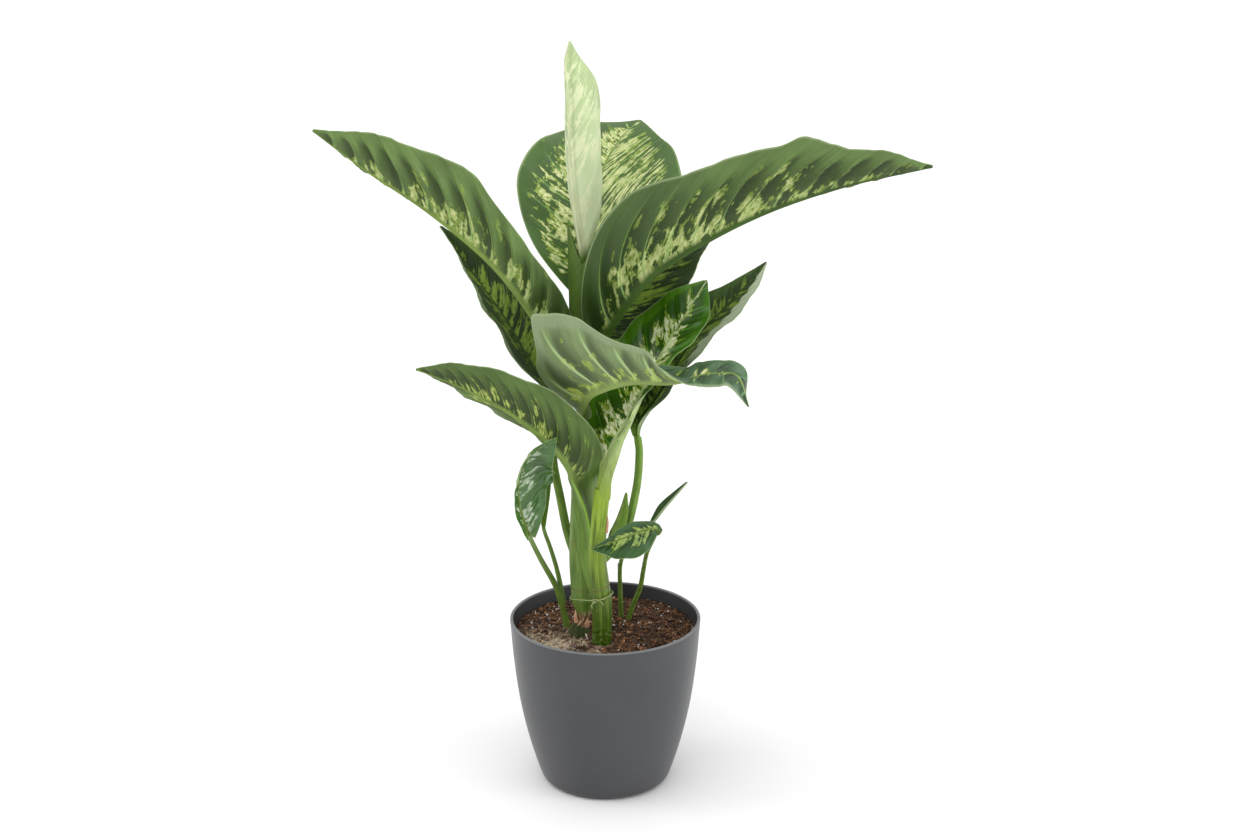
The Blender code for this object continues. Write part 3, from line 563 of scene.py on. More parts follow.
class Leaf:
    """One leaf: a petiole that passes over into a thin pleated blade with a raised rib below."""

    def __init__(self, shape, look):
        self.shape, self.look = shape, look
        self.path, places = smooth_path(shape["stalk"] + shape["rib"])
        self.arc = arc_length(self.path)
        self.join = self.arc[places[len(shape["stalk"]) - 1]]
        self.length = self.arc[-1] - self.join
        self.face = unit(shape["face"])
        self.foot_face = unit(shape.get("foot_face", shape["face"][0]))
        self.widths = (shape["left"], shape["right"])
        self.frill = (shape["left_frill"], shape["right_frill"])
        self.foot = -self.join / self.length
        # The share of the blade's length, below its base, over which the base narrows to the petiole.
        opening = shape.get("opening", 1.3 * max(self.widths[0][0], self.widths[1][0])) / self.length
        self.opening = min(opening, -0.9 * self.foot)

    def frame(self, d):
        """Point, left and up at distance d along the petiole and blade."""
        d = np.asarray(d, float)
        inside = np.clip(d, 0, self.arc[-1])
        ahead = read_path(np.clip(inside + 5, 0, self.arc[-1]), self.arc, self.path)
        behind = read_path(np.clip(inside - 5, 0, self.arc[-1]), self.arc, self.path)
        forward = unit(ahead - behind)
        point = read_path(inside, self.arc, self.path) + forward * (d - inside)[..., None]
        s = (d - self.join) / self.length
        face = along(self.face, s)
        low = smoothstep(s / self.foot, 0.0, 0.3)[..., None]
        face = face * (1 - low) + self.foot_face * low
        up = unit(face - (face * forward).sum(-1, keepdims=True) * forward)
        return point, np.cross(up, forward), up

    def thickness(self, s):
        """Radius of the petiole or rib at share s of the blade's length; s is negative on the petiole."""
        start, base = self.shape["radius"]
        petiole = base + (start - base) * s / self.foot
        rib = RIB_END_RADIUS + (base - RIB_END_RADIUS) * (1 - np.clip(s, 0, 1)) ** self.shape["rib_taper"]
        return np.where(s < 0, petiole, rib)

    def reach(self, s, side):
        """Where row s meets the margin, and how far out that is."""
        margin = np.clip(s + self.shape["sweep"] * 4 * s * (1 - s), 0, 1)
        thick = self.thickness(s) * 1.12
        blade = along(self.widths[side], margin)
        for place, spread, extra in self.frill[side]:
            blade = blade + extra * hump(margin - place, spread)
        if self.shape["wings"]:
            base = along(self.shape["wings"][side], 1 - s / self.foot)
        else:
            base = thick + (self.widths[side][0] - thick) * np.clip(1 + s / self.opening, 0, 1) ** 1.25
        return margin, np.maximum(np.where(s < 0, base, blade), thick)

    def place(self, s, v, side):
        """Share of the length at which row s lies, v of the way out to the margin."""
        margin, _ = self.reach(s, side)
        ahead = np.where(s < 0, 0, margin - s)
        return s + (ahead - self.shape["lobe"] * hump(s, 0.10)) * v**1.5

    def surface(self, s, v, side):
        """The blade's middle at row s, and at share v of the way from the rib to the margin on one side."""
        s, v = np.broadcast_arrays(np.asarray(s, float), np.asarray(v, float))
        _, reach = self.reach(s, side)
        point, left, up = self.frame(self.join + self.place(s, v, side) * self.length)
        fold = np.radians(along(self.shape["fold"][side], s))
        curl = np.radians(along(self.shape["curl"][side], s))
        if self.shape["wings"]:
            low = smoothstep(s, -0.12, 0.0)
            fold = fold * low + math.radians(self.shape["wing_fold"][side]) * (1 - low)
            curl = curl * low + math.radians(self.shape["wing_curl"][side]) * (1 - low)
        curl = np.where(np.abs(curl) < 1e-4, 1e-4, curl)
        bent = fold + curl * v
        across = reach * (np.sin(bent) - np.sin(fold)) / curl
        rise = reach * (np.cos(fold) - np.cos(bent)) / curl
        ripple = self.shape["wave"][side] * v**2
        ripple = ripple * np.sin(2 * math.pi * (self.shape["waves"] * s + 0.37 * side))
        ripple = ripple * reach / max(self.widths[side]) * smoothstep(s, -0.1, 0.15)
        across = across - ripple * np.sin(bent)
        rise = rise + ripple * np.cos(bent)
        outward = 1 if side == 0 else -1
        return point + left * (outward * across)[..., None] + up * rise[..., None]

    def vein(self, s, v, side):
        """How many side veins lie between the base and this place: it is whole along each vein."""
        _, reach = self.reach(s, side)
        out = v * reach / self.length
        lean = self.look["lean"]
        lean = along(lean[side] if isinstance(lean[0], tuple) else lean, s) + self.look["bend"] * v
        return (self.place(s, v, side) - out * lean) * self.look["veins"] + 0.5 * side

    def pleat(self, q, s, v):
        """Relief of the folds between side veins, in mm."""
        swell = np.sin(2 * math.pi * q) + 0.35 * np.sin(4 * math.pi * q + 0.4)
        inner = smoothstep(v, 0.04, 0.32) * (1 - 0.8 * smoothstep(v, 0.55, 0.95))
        lengthwise = smoothstep(s, -0.05, 0.12) * (1 - 0.8 * smoothstep(s, 0.75, 1.0))
        return self.look["pleat"] * swell * inner * lengthwise

    def half(self, s, radius, side, columns):
        """One half of the blade, from the rib to the margin, as grids of places and values."""
        _, reach = self.reach(s, side)
        edge = radius / reach
        inner = edge * np.linspace(0, 1, RIB_COLUMNS, endpoint=False)
        outer = edge + (1 - edge) * np.linspace(0, 1, columns)
        v = np.concatenate([inner, outer], 1)
        row = np.broadcast_to(s, v.shape)
        q = self.vein(row, v, side)
        sign = 1 if side == 0 else -1
        return {
            "middle": self.surface(row, v, side),
            "relief": self.pleat(q, row, v),
            "vein": q,
            "width": sign * v * reach,
            "share": sign * v,
            "along": self.place(row, v, side),
            "rib": np.clip(v / edge, 0, 1),
            "open": np.broadcast_to(reach / radius, v.shape),
        }

    def petiole_rings(self, s, radius, across):
        """Upper and lower halves of round rings, with a channel on top."""
        centre, side_way, up = self.frame(self.join + s[:, 0] * self.length)
        angle = (np.arange(across) + 0.5) * math.pi / across
        channel = 1 - 0.22 * hump(np.cos(angle), 0.35)
        sideways = (np.cos(angle)[:, None] * side_way[:, None]) * radius[..., None]
        upward = (np.sin(angle)[:, None] * up[:, None]) * radius[..., None]
        above = centre[:, None] + sideways + upward * channel[:, None]
        return above, centre[:, None] + sideways - upward

    def build(self, rows, columns):
        """Rings from the foot to the tip, each over the top from left to right and back below."""
        u = np.linspace(0, 1, rows)
        s = np.concatenate([
            np.linspace(self.foot, -self.opening, STALK_ROWS, endpoint=False),
            np.linspace(-self.opening, 0, max(rows // 7, 8), endpoint=False),
            0.997 * (0.6 * u + 0.2 * (1 - np.cos(np.pi * u))),
        ])[:, None]
        radius = self.thickness(s)
        left, right = (self.half(s, radius, side, columns) for side in (0, 1))
        grid = {k: np.concatenate([left[k][:, :0:-1], right[k]], 1) for k in left}
        middle = grid["middle"]
        across = middle.shape[1]
        up = self.frame(self.join + s[:, 0] * self.length)[2]
        normal = unit(np.cross(np.gradient(middle, axis=1), np.gradient(middle, axis=0)))
        checked = len(s) // 2
        if (normal[checked, across // 2] * up[checked]).sum() < 0:
            normal = -normal
        middle = middle + normal * grid["relief"][..., None]
        share = np.abs(grid["share"])
        thick = BLADE_THICKNESS + (MARGIN_THICKNESS - BLADE_THICKNESS) * share**2
        ridge = np.sqrt(np.clip(1 - grid["rib"] ** 2, 0, 1)) * radius * 1.5
        groove = hump(grid["rib"], 0.45) * radius * 0.3
        top = middle + normal * (thick / 2)[..., None] - up[:, None] * groove[..., None]
        below = middle - normal * (thick / 2)[..., None] - up[:, None] * ridge[..., None]

        # Where the blade is no wider than the petiole, the ring is the petiole's.
        round_top, round_below = self.petiole_rings(s, radius, across)
        opened = smoothstep(np.max(grid["open"], 1), 1.15, self.shape["blend"])[:, None, None]
        top = top * opened + round_top * (1 - opened)
        below = below * opened + round_below * (1 - opened)
        rings = np.concatenate([top, below[:, ::-1]], 1)

        below_base = np.broadcast_to(1 - smoothstep(s, -0.5 * self.opening, 0.03), middle.shape[:2])
        grid.update(rib=1 - smoothstep(grid["rib"], 0.75, 1.0), stalk=below_base)
        data = {
            key: np.concatenate([grid[key], grid[key][:, ::-1]], 1).ravel()
            for key in ("vein", "width", "along", "share", "rib", "stalk")
        }
        under = np.zeros(rings.shape[:2])
        under[:, across:] = 1
        data["under"] = under.ravel()
        return rings, data


class Nodes:
    """Adds nodes to a shader tree. A value is a number, a colour or another node's socket."""

    def __init__(self, tree):
        self.tree = tree

    def put(self, socket, value):
        if isinstance(value, bpy.types.NodeSocket):
            self.tree.links.new(value, socket)
        elif hasattr(value, "__len__") and socket.type == "RGBA":
            socket.default_value = (*value, 1)
        else:
            socket.default_value = value

    def node(self, kind, inputs=(), **settings):
        made = self.tree.nodes.new("ShaderNode" + kind)
        for key, value in settings.items():
            setattr(made, key, value)
        for key, value in dict(inputs).items():
            self.put(made.inputs[key], value)
        return made

    def math(self, operation, a, b=0.0):
        return self.node("Math", {0: a, 1: b}, operation=operation).outputs[0]

    def add(self, *values):
        return reduce(lambda a, b: self.math("ADD", a, b), values)

    def times(self, *values):
        return reduce(lambda a, b: self.math("MULTIPLY", a, b), values)

    def minus(self, *values):
        return reduce(lambda a, b: self.math("SUBTRACT", a, b), values)

    def size(self, value):
        """The value without its sign."""
        return self.math("ABSOLUTE", value)

    def mix(self, factor, a, b):
        return self.node("Mix", {0: factor, 6: a, 7: b}, data_type="RGBA").outputs[2]

    def between(self, value, low, high, start=0.0, end=1.0):
        """start below low, end above high, smooth in between."""
        inputs = {0: value, 1: low, 2: high, 3: start, 4: end}
        return self.node("MapRange", inputs, interpolation_type="SMOOTHSTEP").outputs[0]

    def split(self, vector):
        return self.node("SeparateXYZ", {0: vector}).outputs

    def vector(self, x, y, z=0.0):
        return self.node("CombineXYZ", {0: x, 1: y, 2: z}).outputs[0]


class Shader(Nodes):
    """Builds one material."""

    def __init__(self, name):
        self.material = bpy.data.materials.new(name)
        self.material.use_nodes = True
        super().__init__(self.material.node_tree)
        self.surface = self.tree.nodes["Principled BSDF"]

    def value(self, name):
        return self.node("Attribute", attribute_name=name).outputs["Fac"]

    def uv(self, name):
        return self.split(self.node("UVMap", uv_map=name).outputs[0])

    def place(self):
        return self.node("TexCoord").outputs["Object"]

    def noise(self, vector, scale, detail=2.0, roughness=0.5, distortion=0.0):
        inputs = {"Vector": vector, "Scale": scale, "Detail": detail, "Roughness": roughness}
        return self.node("TexNoise", {**inputs, "Distortion": distortion}).outputs["Fac"]

    def grain(self, scale, detail=2.0, roughness=0.5):
        """Noise in the object's own space."""
        return self.noise(self.place(), scale, detail, roughness)

    def finish(self, colour, roughness, height=None, bump=1.0, depth=0.001, **constants):
        self.put(self.surface.inputs["Base Color"], colour)
        self.put(self.surface.inputs["Roughness"], roughness)
        if height is not None:
            relief = self.node("Bump", {"Height": height, "Strength": bump, "Distance": depth})
            self.put(self.surface.inputs["Normal"], relief.outputs[0])
        for key, value in constants.items():
            self.surface.inputs[key.replace("_", " ")].default_value = value
        return self.material

    def let_light_through(self, colour, share):
        """Mixes in light that falls through from behind, as a thin blade does."""
        output = self.tree.nodes["Material Output"]
        behind = self.node("BsdfTranslucent", {"Color": colour})
        mixed = self.node("MixShader", {0: share, 1: self.surface.outputs[0], 2: behind.outputs[0]})
        self.tree.links.new(mixed.outputs[0], output.inputs[0])


class LeafShader(Shader):
    """One leaf's material, laid out along its rib and side veins."""

    def __init__(self, name, look, seed):
        super().__init__(name)
        self.look, self.seed = look, seed
        # How many veins lie below, and how far out from the rib.
        self.count, self.width, _ = self.uv("vein")
        # Shares of the way to the tip and to the margin. The second is negative on the right.
        self.ahead, self.share, _ = self.uv("blade")
        self.out = self.size(self.share)
        self.phase = self.math("FRACT", self.count)
        # 1 on a side vein, 0 half way to the next.
        self.vein = self.times(self.size(self.minus(self.phase, 0.5)), 2.0)
        self.patch = self.stretched(1.4, 0.9, 7.0, 2.0)
        self.fine = self.stretched(22.0, 0.8, 17.0, 3.0)
        self.broad = self.grain(22.0)
        self.blotch = self.grain(look["blotch"], 3.0, 0.6)
        spotted = self.vector(self.times(self.count, 7.0), self.times(self.width, 5.0), seed)
        self.speck = self.noise(spotted, 1.0)
        streak = self.stretched(look["across"], 1.1, 0.0, 3.0, 0.6)
        rough_patch = self.weighted(self.patch, look["patchy"])
        self.blend = self.add(streak, self.add(rough_patch, self.weighted(self.blotch, look["ragged"])))

    def stretched(self, across, out, shift, detail, roughness=0.55):
        """Noise drawn out along the side veins."""
        place = self.vector(self.times(self.count, across), self.times(self.width, out), self.seed + shift)
        return self.noise(place, 1.0, detail, roughness, 0.15)

    def weighted(self, noise, weight):
        return self.times(self.minus(noise, 0.5), weight)

    def ground(self, base, dark, light, extent):
        """Mottled green, with painted shade beside each vein that ends in an arc, then a painted highlight on
        the pleat's ridge.
        """
        look, phase = self.look, self.phase
        base = self.mix(self.between(self.broad, 0.3, 0.7), scaled(base, 0.80), scaled(base, 1.14))
        base = self.mix(self.between(self.fine, 0.5, 0.75, 0.0, 0.35), base, light)
        base = self.mix(self.between(self.fine, 0.25, 0.5, 0.35, 0.0), base, dark)
        arc = self.times(self.math("POWER", self.size(self.minus(phase, 0.32)), 2.0), 3.0)
        end = self.between(self.add(self.out, arc), look["band_end"], look["band_end"] + 0.24, 1.0, 0.0)
        # Painted shade in the fold beside each vein.
        band = self.times(self.between(phase, 0.0, 0.07), self.between(phase, 0.16, 0.72, 1.0, 0.0), end)
        base = self.mix(self.times(band, look["band"]), base, dark)
        # A painted highlight on each pleat's ridge.
        ridge = self.times(self.between(phase, 0.66, 0.88), self.between(phase, 0.95, 1.0, 1.0, 0.2), end)
        base = self.mix(self.times(ridge, look["band"] * 0.8), base, light)
        base = self.mix(self.between(self.out, extent * 0.35, extent * 0.9, look["inner"], 0.0), base, dark)
        # At the base: painted shade on the upper leaves, painted light on the spear's foot.
        root, base_shading_colour, base_shading_reach = look["root"]
        return self.mix(self.between(self.ahead, 0.0, base_shading_reach, root, 0.0), base, base_shading_colour)

    def marked(self, base, pale, lime, amount, extent):
        """Pale marks with lime rims, which thin out to the margin and the tip."""
        near_tip = self.math("MAXIMUM", self.minus(self.ahead, 0.70), 0.0)
        outward = self.add(self.out, self.times(near_tip, 2.4))
        limit = self.between(outward, extent * 0.10, extent, 0.60 - 0.20 * amount, 0.78)
        on_vein = self.times(self.math("POWER", self.vein, 4.0), self.look["pull"])
        above = self.add(self.minus(self.blend, limit), on_vein)
        above = self.minus(above, self.between(self.speck, 0.54, 0.62, 0.0, 0.14))
        above = self.minus(above, self.between(self.out, 0.72, 0.88, 0.0, 0.16))
        rim = self.add(above, self.between(self.patch, 0.48, 0.62, 0.0, 0.06))
        base = self.mix(self.between(rim, -0.060, -0.030, 0.0, 0.8), base, lime)
        middling = tuple(0.5 * (p + l) for p, l in zip(pale, lime))
        tone = self.mix(self.between(self.speck, 0.36, 0.54), pale, middling)
        return self.mix(self.between(above, -0.006, 0.012), base, tone)

    def lined(self, base, dark, light):
        """Light lines on the veins, painted shadow in thin lines beside the rib, and a strip along one
        margin.
        """
        inside = self.between(self.out, 0.55, 0.95, self.look["lines"], 0.0)
        base = self.mix(self.times(self.between(self.vein, 0.90, 0.98), inside), base, light)
        width = self.size(self.width)
        # Painted shadow in a thin line on each side of the rib.
        groove = self.times(self.between(width, 0.12, 0.17), self.between(width, 0.18, 0.30, 1.0, 0.0))
        base = self.mix(self.times(groove, self.look["groove"]), base, dark)
        side, start, strength, low = self.look["edge"]
        place = self.add(self.times(self.share, side), self.weighted(self.blotch, 0.12))
        strip = self.between(place, start, start + 0.10, 0.0, strength)
        strip = self.times(strip, self.between(self.ahead, low, low + 0.15))
        return self.mix(strip, base, self.look["edge_colour"])

    def painted(self, green, prefix=""):
        """One side of the blade. Its marks come from the keys with this prefix."""
        amount, extent, pale, lime = (self.look[prefix + key] for key in ("marks", "reach", "pale", "lime"))
        dark, light = scaled(green, 0.29), tuple(min(c * 2.0 + 0.02, 1) for c in green)
        base = self.ground(green, dark, light, extent)
        if amount:
            base = self.marked(base, pale, lime, amount, extent)
        return self.lined(base, dark, light)

    def petiole(self, grain):
        look, stalk = self.look, self.look["stalk"]
        colour = self.mix(grain, scaled(stalk, 0.66), stalk)
        # Painted shade beside the keel, then a painted highlight along it.
        beside = self.between(self.width, 0.3, 0.8, look["keel_shading"] * 0.8, 0.0)
        beside = self.times(self.between(self.width, 0.03, 0.12), beside)
        colour = self.mix(beside, colour, scaled(stalk, 0.35))
        keel_shading = self.between(self.size(self.width), 0.02, 0.09, look["keel_shading"], 0.0)
        colour = self.mix(keel_shading, colour, scaled(stalk, 1.7))
        return self.mix(self.between(self.ahead, -0.26, -0.10, look["foot"], 0.0), colour, CANE_GREEN)

    def build(self):
        look, under = self.look, self.value("under")
        blade = self.mix(under, self.painted(look["upper"]), self.painted(look["under"], "under_"))
        # Painted light along the margin: a pale line where light falls through the thin edge.
        blade = self.mix(self.between(self.out, 0.965, 0.995, 0.0, 0.6), blade, (0.40, 0.50, 0.25))
        lengthwise = self.vector(self.times(self.ahead, 9.0), self.times(self.width, 11.0), self.seed)
        grain = self.between(self.noise(lengthwise, 1.0, 3.0), 0.32, 0.68)
        colour = self.mix(self.value("rib"), blade, self.mix(grain, scaled(look["rib"], 0.72), look["rib"]))
        colour = self.mix(self.value("stalk"), colour, self.petiole(grain))
        cells = self.grain(900.0)
        height = self.add(self.times(self.stretched(40.0, 3.0, 3.0, 2.0), 0.7), self.times(cells, 0.3))
        rough = self.mix(under, (look["rough"],) * 3, (look["under_rough"],) * 3)
        rough = self.add(rough, self.times(self.minus(cells, 0.5), 0.12))
        self.finish(colour, rough, height, 0.35, 0.0006, Specular_IOR_Level=look["shine"])
        self.let_light_through(self.mix(0.5, colour, (0.25, 0.45, 0.03)), 0.12)
        return self.material


def make_leaf(name, seed):
    small = name.startswith(("shoot", "sheath"))
    rings, data = Leaf(LEAVES[name], LOOKS[name]).build(*(SMALL_GRID if small else LARGE_GRID))
    points, faces = loft(rings)
    mesh = add_mesh("fine_" + name, points, faces, name, 60.0).data
    add_uv(mesh, "vein", data["vein"], data["width"] / VEIN_UNIT)
    add_uv(mesh, "blade", data["along"], data["share"])
    for key in ("under", "stalk", "rib"):
        add_value(mesh, key, data[key])
    mesh.materials.append(LeafShader(name, LOOKS[name], seed).build())


def tube_rings(points, radii, sides, rows):
    """A round stem's ring centres, the unit circle of each, their radii and their distances along it."""
    path, places = smooth_path(points)
    arc = arc_length(path)
    d = np.linspace(0, arc[-1], rows)
    centre = read_path(d, arc, path)
    forward = unit(np.gradient(centre, axis=0))
    side = unit(np.cross(forward, (0.0, 1.0, 0.0)))
    return centre, circles(side, np.cross(forward, side), sides), np.interp(d, arc[places], radii), d


def make_cane(name):
    spec = CANES[name]
    centre, ring, radius, _ = tube_rings(spec["points"], spec["radii"], CANE_SIDES, CANE_ROWS)
    angle = even_angles(CANE_SIDES)
    height = centre[:, 2][:, None]
    size = np.broadcast_to(radius[:, None], (CANE_ROWS, CANE_SIDES)).copy()
    mark = np.zeros_like(size)
    for joint in spec["joints"]:
        tilt = 2.5 * np.sin(angle + joint)
        near = (height - joint - tilt) / 1.3
        size += 0.35 * hump(near) - 0.3 * hump(near + 1.8)
        mark = np.maximum(mark, hump(near + 1.2))
    lumps = np.random.default_rng(3).normal(0, 1, size.shape)
    for _ in range(3):
        lumps = (lumps + np.roll(lumps, 1, 0) + np.roll(lumps, -1, 0) + np.roll(lumps, 1, 1)) / 4
    stump = 1 - smoothstep(height, *STUMP_TOP)
    size += lumps * (0.1 + 1.6 * stump)
    size += 0.12 * np.sin(angle * 11 + 0.02 * height) * (1 - stump)
    points, faces = loft(centre[:, None] + ring * size[..., None])
    mesh = add_mesh("fine_" + name, points, faces, name).data
    add_value(mesh, "mark", mark.ravel())
    for key, values in (("turn_x", np.cos(angle)), ("turn_y", np.sin(angle)), ("rise", height / 100)):
        add_value(mesh, key, np.broadcast_to(values, size.shape).ravel())
    mesh.materials.append(cane_material(name, spec["greens"], spec["moss"]))


def cane_material(name, greens, moss):
    low, high, pale = greens
    sh = Shader(name)
    rise = sh.value("rise")

    def around(turns, up, shift=0.0):
        x, y = (sh.times(sh.value(key), turns) for key in ("turn_x", "turn_y"))
        return sh.vector(x, y, sh.add(sh.times(rise, up), shift))

    green = sh.mix(sh.between(rise, 1.8, 2.8), low, high)
    streak = sh.noise(around(4.5, 1.2), 1.0, 4.0, 0.65)
    pale_share = sh.times(sh.between(streak, 0.50, 0.72, 0.0, 0.75), sh.between(rise, 1.6, 2.6, 0.3, 1.0))
    colour = sh.mix(pale_share, green, pale)
    shade = sh.noise(around(2.0, 2.5, 9.0), 1.0)
    colour = sh.mix(sh.between(shade, 0.5, 0.7, 0.0, 0.6), colour, scaled(low, 0.4))
    colour = sh.mix(sh.between(sh.grain(420.0), 0.64, 0.72, 0.0, 0.6), colour, (0.20, 0.16, 0.05))
    colour = sh.mix(sh.times(sh.value("mark"), 0.55), colour, (0.17, 0.15, 0.05))
    old = sh.noise(around(3.0, 14.0, 4.0), 1.0, 3.0)
    old_colour = sh.mix(sh.between(old, 0.40, 0.50), (0.025, 0.055, 0.010), (0.05, 0.060, 0.018))
    bark = sh.mix(sh.between(old, 0.42, 0.58), (0.12, 0.05, 0.02), (0.52, 0.36, 0.22))
    foot = moss / 100
    colour = sh.mix(sh.between(rise, foot + 0.06, foot + 0.16, 1.0, 0.0), colour, bark)
    colour = sh.mix(sh.between(rise, foot - 0.02, foot + 0.01, 1.0, 0.0), colour, old_colour)
    fibre = sh.noise(around(16.0, 1.0), 1.0, 3.0)
    rough = sh.between(rise, foot, foot + 0.1, 0.85, 0.36)
    return sh.finish(colour, rough, fibre, 0.4, 0.0006, Specular_IOR_Level=0.25)


def plain_material(name, scale, detail, limits, first, second, rough, bump, depth):
    """Two colours mixed by one noise, which is also its relief."""
    sh = Shader(name)
    grain = sh.grain(scale, detail)
    return sh.finish(sh.mix(sh.between(grain, *limits), first, second), rough, grain, bump, depth)


def make_stub():
    centre, ring, radius, d = tube_rings(STUB_POINTS, STUB_RADII, STUB_SIDES, STUB_ROWS)
    wobble = 1 + 0.12 * np.sin(3 * even_angles(STUB_SIDES)[None] + d[:, None] * 0.4)
    points, faces = loft(centre[:, None] + ring * (radius[:, None] * wobble)[..., None])
    stub = add_mesh("fine_stem_stub", points, faces, "stem_stub")
    brown = ((0.035, 0.025, 0.015), (0.10, 0.09, 0.04))
    material = plain_material("dead stem", 260.0, 3.0, (0.35, 0.65), *brown, 0.75, 0.5, 0.0006)
    stub.data.materials.append(material)


def tie_path():
    """Round both canes, and straight between them."""
    (ax, ay, ar), (bx, by, br) = TIE_ROUND
    direction = math.atan2(by - ay, bx - ax)
    lean = math.acos((ar - br) / math.hypot(bx - ax, by - ay))
    path = []
    for x, y, r, first, last in (
        (ax, ay, ar, direction + lean, direction + 2 * math.pi - lean),
        (bx, by, br, direction - lean, direction + lean),
    ):
        for angle in np.linspace(first, last, TIE_STEPS):
            place = (x + (r + TIE_RADIUS) * math.cos(angle), y + (r + TIE_RADIUS) * math.sin(angle))
            path.append((*place, TIE_HEIGHT + TIE_TILT[0] * place[0] + TIE_TILT[1] * place[1]))
    return np.array(path)


def make_tie():
    """A thin string round both canes, higher on the right, with a knot between them."""
    path = tie_path()
    ahead = unit(np.roll(path, -1, 0) - np.roll(path, 1, 0))
    side = unit(np.cross(ahead, (0.0, 0.0, 1.0)))
    ring = circles(side, np.cross(side, ahead), TIE_SIDES)
    points, faces = loft(path[:, None] + TIE_RADIUS * ring, closed=True)
    knot = path[np.argmin(np.abs(path[:, 0] + 9) + 10 * (path[:, 1] > -28))]
    for strand in TIE_KNOT:
        strand = [tuple(knot + p) for p in strand]
        centre, ring, radius, _ = tube_rings(strand, [TIE_RADIUS] * len(strand), KNOT_SIDES, KNOT_ROWS)
        more, more_faces = loft(centre[:, None] + ring * radius[:, None, None])
        faces += [[i + len(points) for i in face] for face in more_faces]
        points = np.concatenate([points, more])
    tie = add_mesh("fine_stem_tie", points, faces, "stem_tie")
    green = ((0.13, 0.18, 0.05), (0.34, 0.40, 0.15))
    tie.data.materials.append(plain_material("string", 1500.0, 2.0, (0.35, 0.65), *green, 0.7, 0.5, 0.0003))


def make_scales():
    """Dry papery scales left on the canes where old leaves sat."""
    brown = ((0.50, 0.22, 0.11), (0.66, 0.42, 0.26))
    material = plain_material("dry scale", 500.0, 3.0, (0.4, 0.6), *brown, 0.6, 0.4, 0.0004)
    for number, (place, outward, height, width) in enumerate(SCALES):
        out = unit(outward)
        side = unit(np.cross((0.0, 0.0, 1.0), out))
        rows = []
        for t in np.linspace(0, 1, 14):
            half = 0.5 * width * (1 - t**1.6) + 0.15
            bulge = 1.6 * math.sin(t * 2.2) - 0.9 * t
            centre = np.array(place) + np.array((0.0, 0.0, height * t)) + out * bulge
            row = [centre + side * half * a - out * (0.35 * half * a * a) for a in np.linspace(-1, 1, 7)]
            rows.append(row + [p - out * 0.4 for p in row[::-1]])
        points, faces = loft(np.array(rows))
        scale = add_mesh(f"dry_scale_{number}", points, faces, None)
        scale.data.materials.append(material)


def turned(profile, sides):
    """Rings of a round body, from pairs of height and radius."""
    angle = even_angles(sides)
    circle = np.stack([np.cos(angle), np.sin(angle), np.zeros(sides)], -1)
    return np.array([circle * r + (0.0, 0.0, z) for z, r in profile])


def pot_profile():
    """Height and radius from the middle of the underside, up the outside, over the lip and down inside."""
    outer, _ = smooth_path([(z, r, 0.0) for z, r in POT_OUTER], 10)
    half = POT_WALL / 2
    lip = [
        (POT_HEIGHT - LIP_HEIGHT + LIP_HEIGHT * math.sin(a), POT_RIM_RADIUS - half + half * math.cos(a))
        for a in np.linspace(0, math.pi, 13)[1:-1]
    ]
    heights = np.linspace(POT_HEIGHT - 1.0, 8.0, 40)
    inner = [(z, float(np.interp(z, outer[:, 0], outer[:, 1])) - POT_WALL) for z in heights]
    floor = [(POT_FLOOR, POT_FLOOR_RADIUS), (POT_FLOOR, 0.01)]
    return [(0.0, 0.01)] + [(z, r) for z, r, _ in outer] + lip + inner + floor


def make_pot():
    points, faces = loft(turned(pot_profile(), ROUND_SIDES))
    pot = add_mesh("fine_pot", points, faces, "pot", 40.0)
    sh = Shader("grey plastic")
    broad = sh.grain(14.0, 3.0)
    colour = sh.mix(sh.between(broad, 0.3, 0.7), (0.044, 0.046, 0.050), (0.051, 0.053, 0.057))
    # A painted highlight: a light ring on top of the lip, where the light falls on it.
    height = sh.split(sh.place())[2]
    colour = sh.mix(sh.between(height, 0.1612, 0.1622, 0.0, 0.8), colour, (0.17, 0.174, 0.18))
    rough = sh.between(broad, 0.3, 0.7, 0.36, 0.42)
    pot.data.materials.append(sh.finish(colour, rough, sh.grain(1400.0), 0.25, 0.0003))


def soil_height(x, y):
    r = np.hypot(x, y)
    lumps = 0.9 * np.sin(x * 0.13 + 1.3) * np.sin(y * 0.17 + 0.4) + 0.6 * np.sin(x * 0.31 + y * 0.23)
    return SOIL_EDGE_HEIGHT + SOIL_CROWN * (1 - (r / 84.0) ** 2) + lumps * np.clip(1 - r / 88.0, 0, 1)


def sandy(sh, colour):
    """Paler, sandy soil in the front left of the pot, mottled at its edges."""
    x, y, _ = sh.split(sh.place())
    away, deep = sh.times(sh.add(x, 0.050), 12.0), sh.times(sh.add(y, 0.040), 14.0)
    far = sh.math("SQRT", sh.add(sh.times(away, away), sh.times(deep, deep)))
    edge = sh.add(far, sh.times(sh.minus(sh.grain(130.0, 3.0), 0.5), 1.6))
    return sh.mix(sh.between(edge, 0.0, 0.60, 0.70, 0.0), colour, (0.60, 0.50, 0.36))


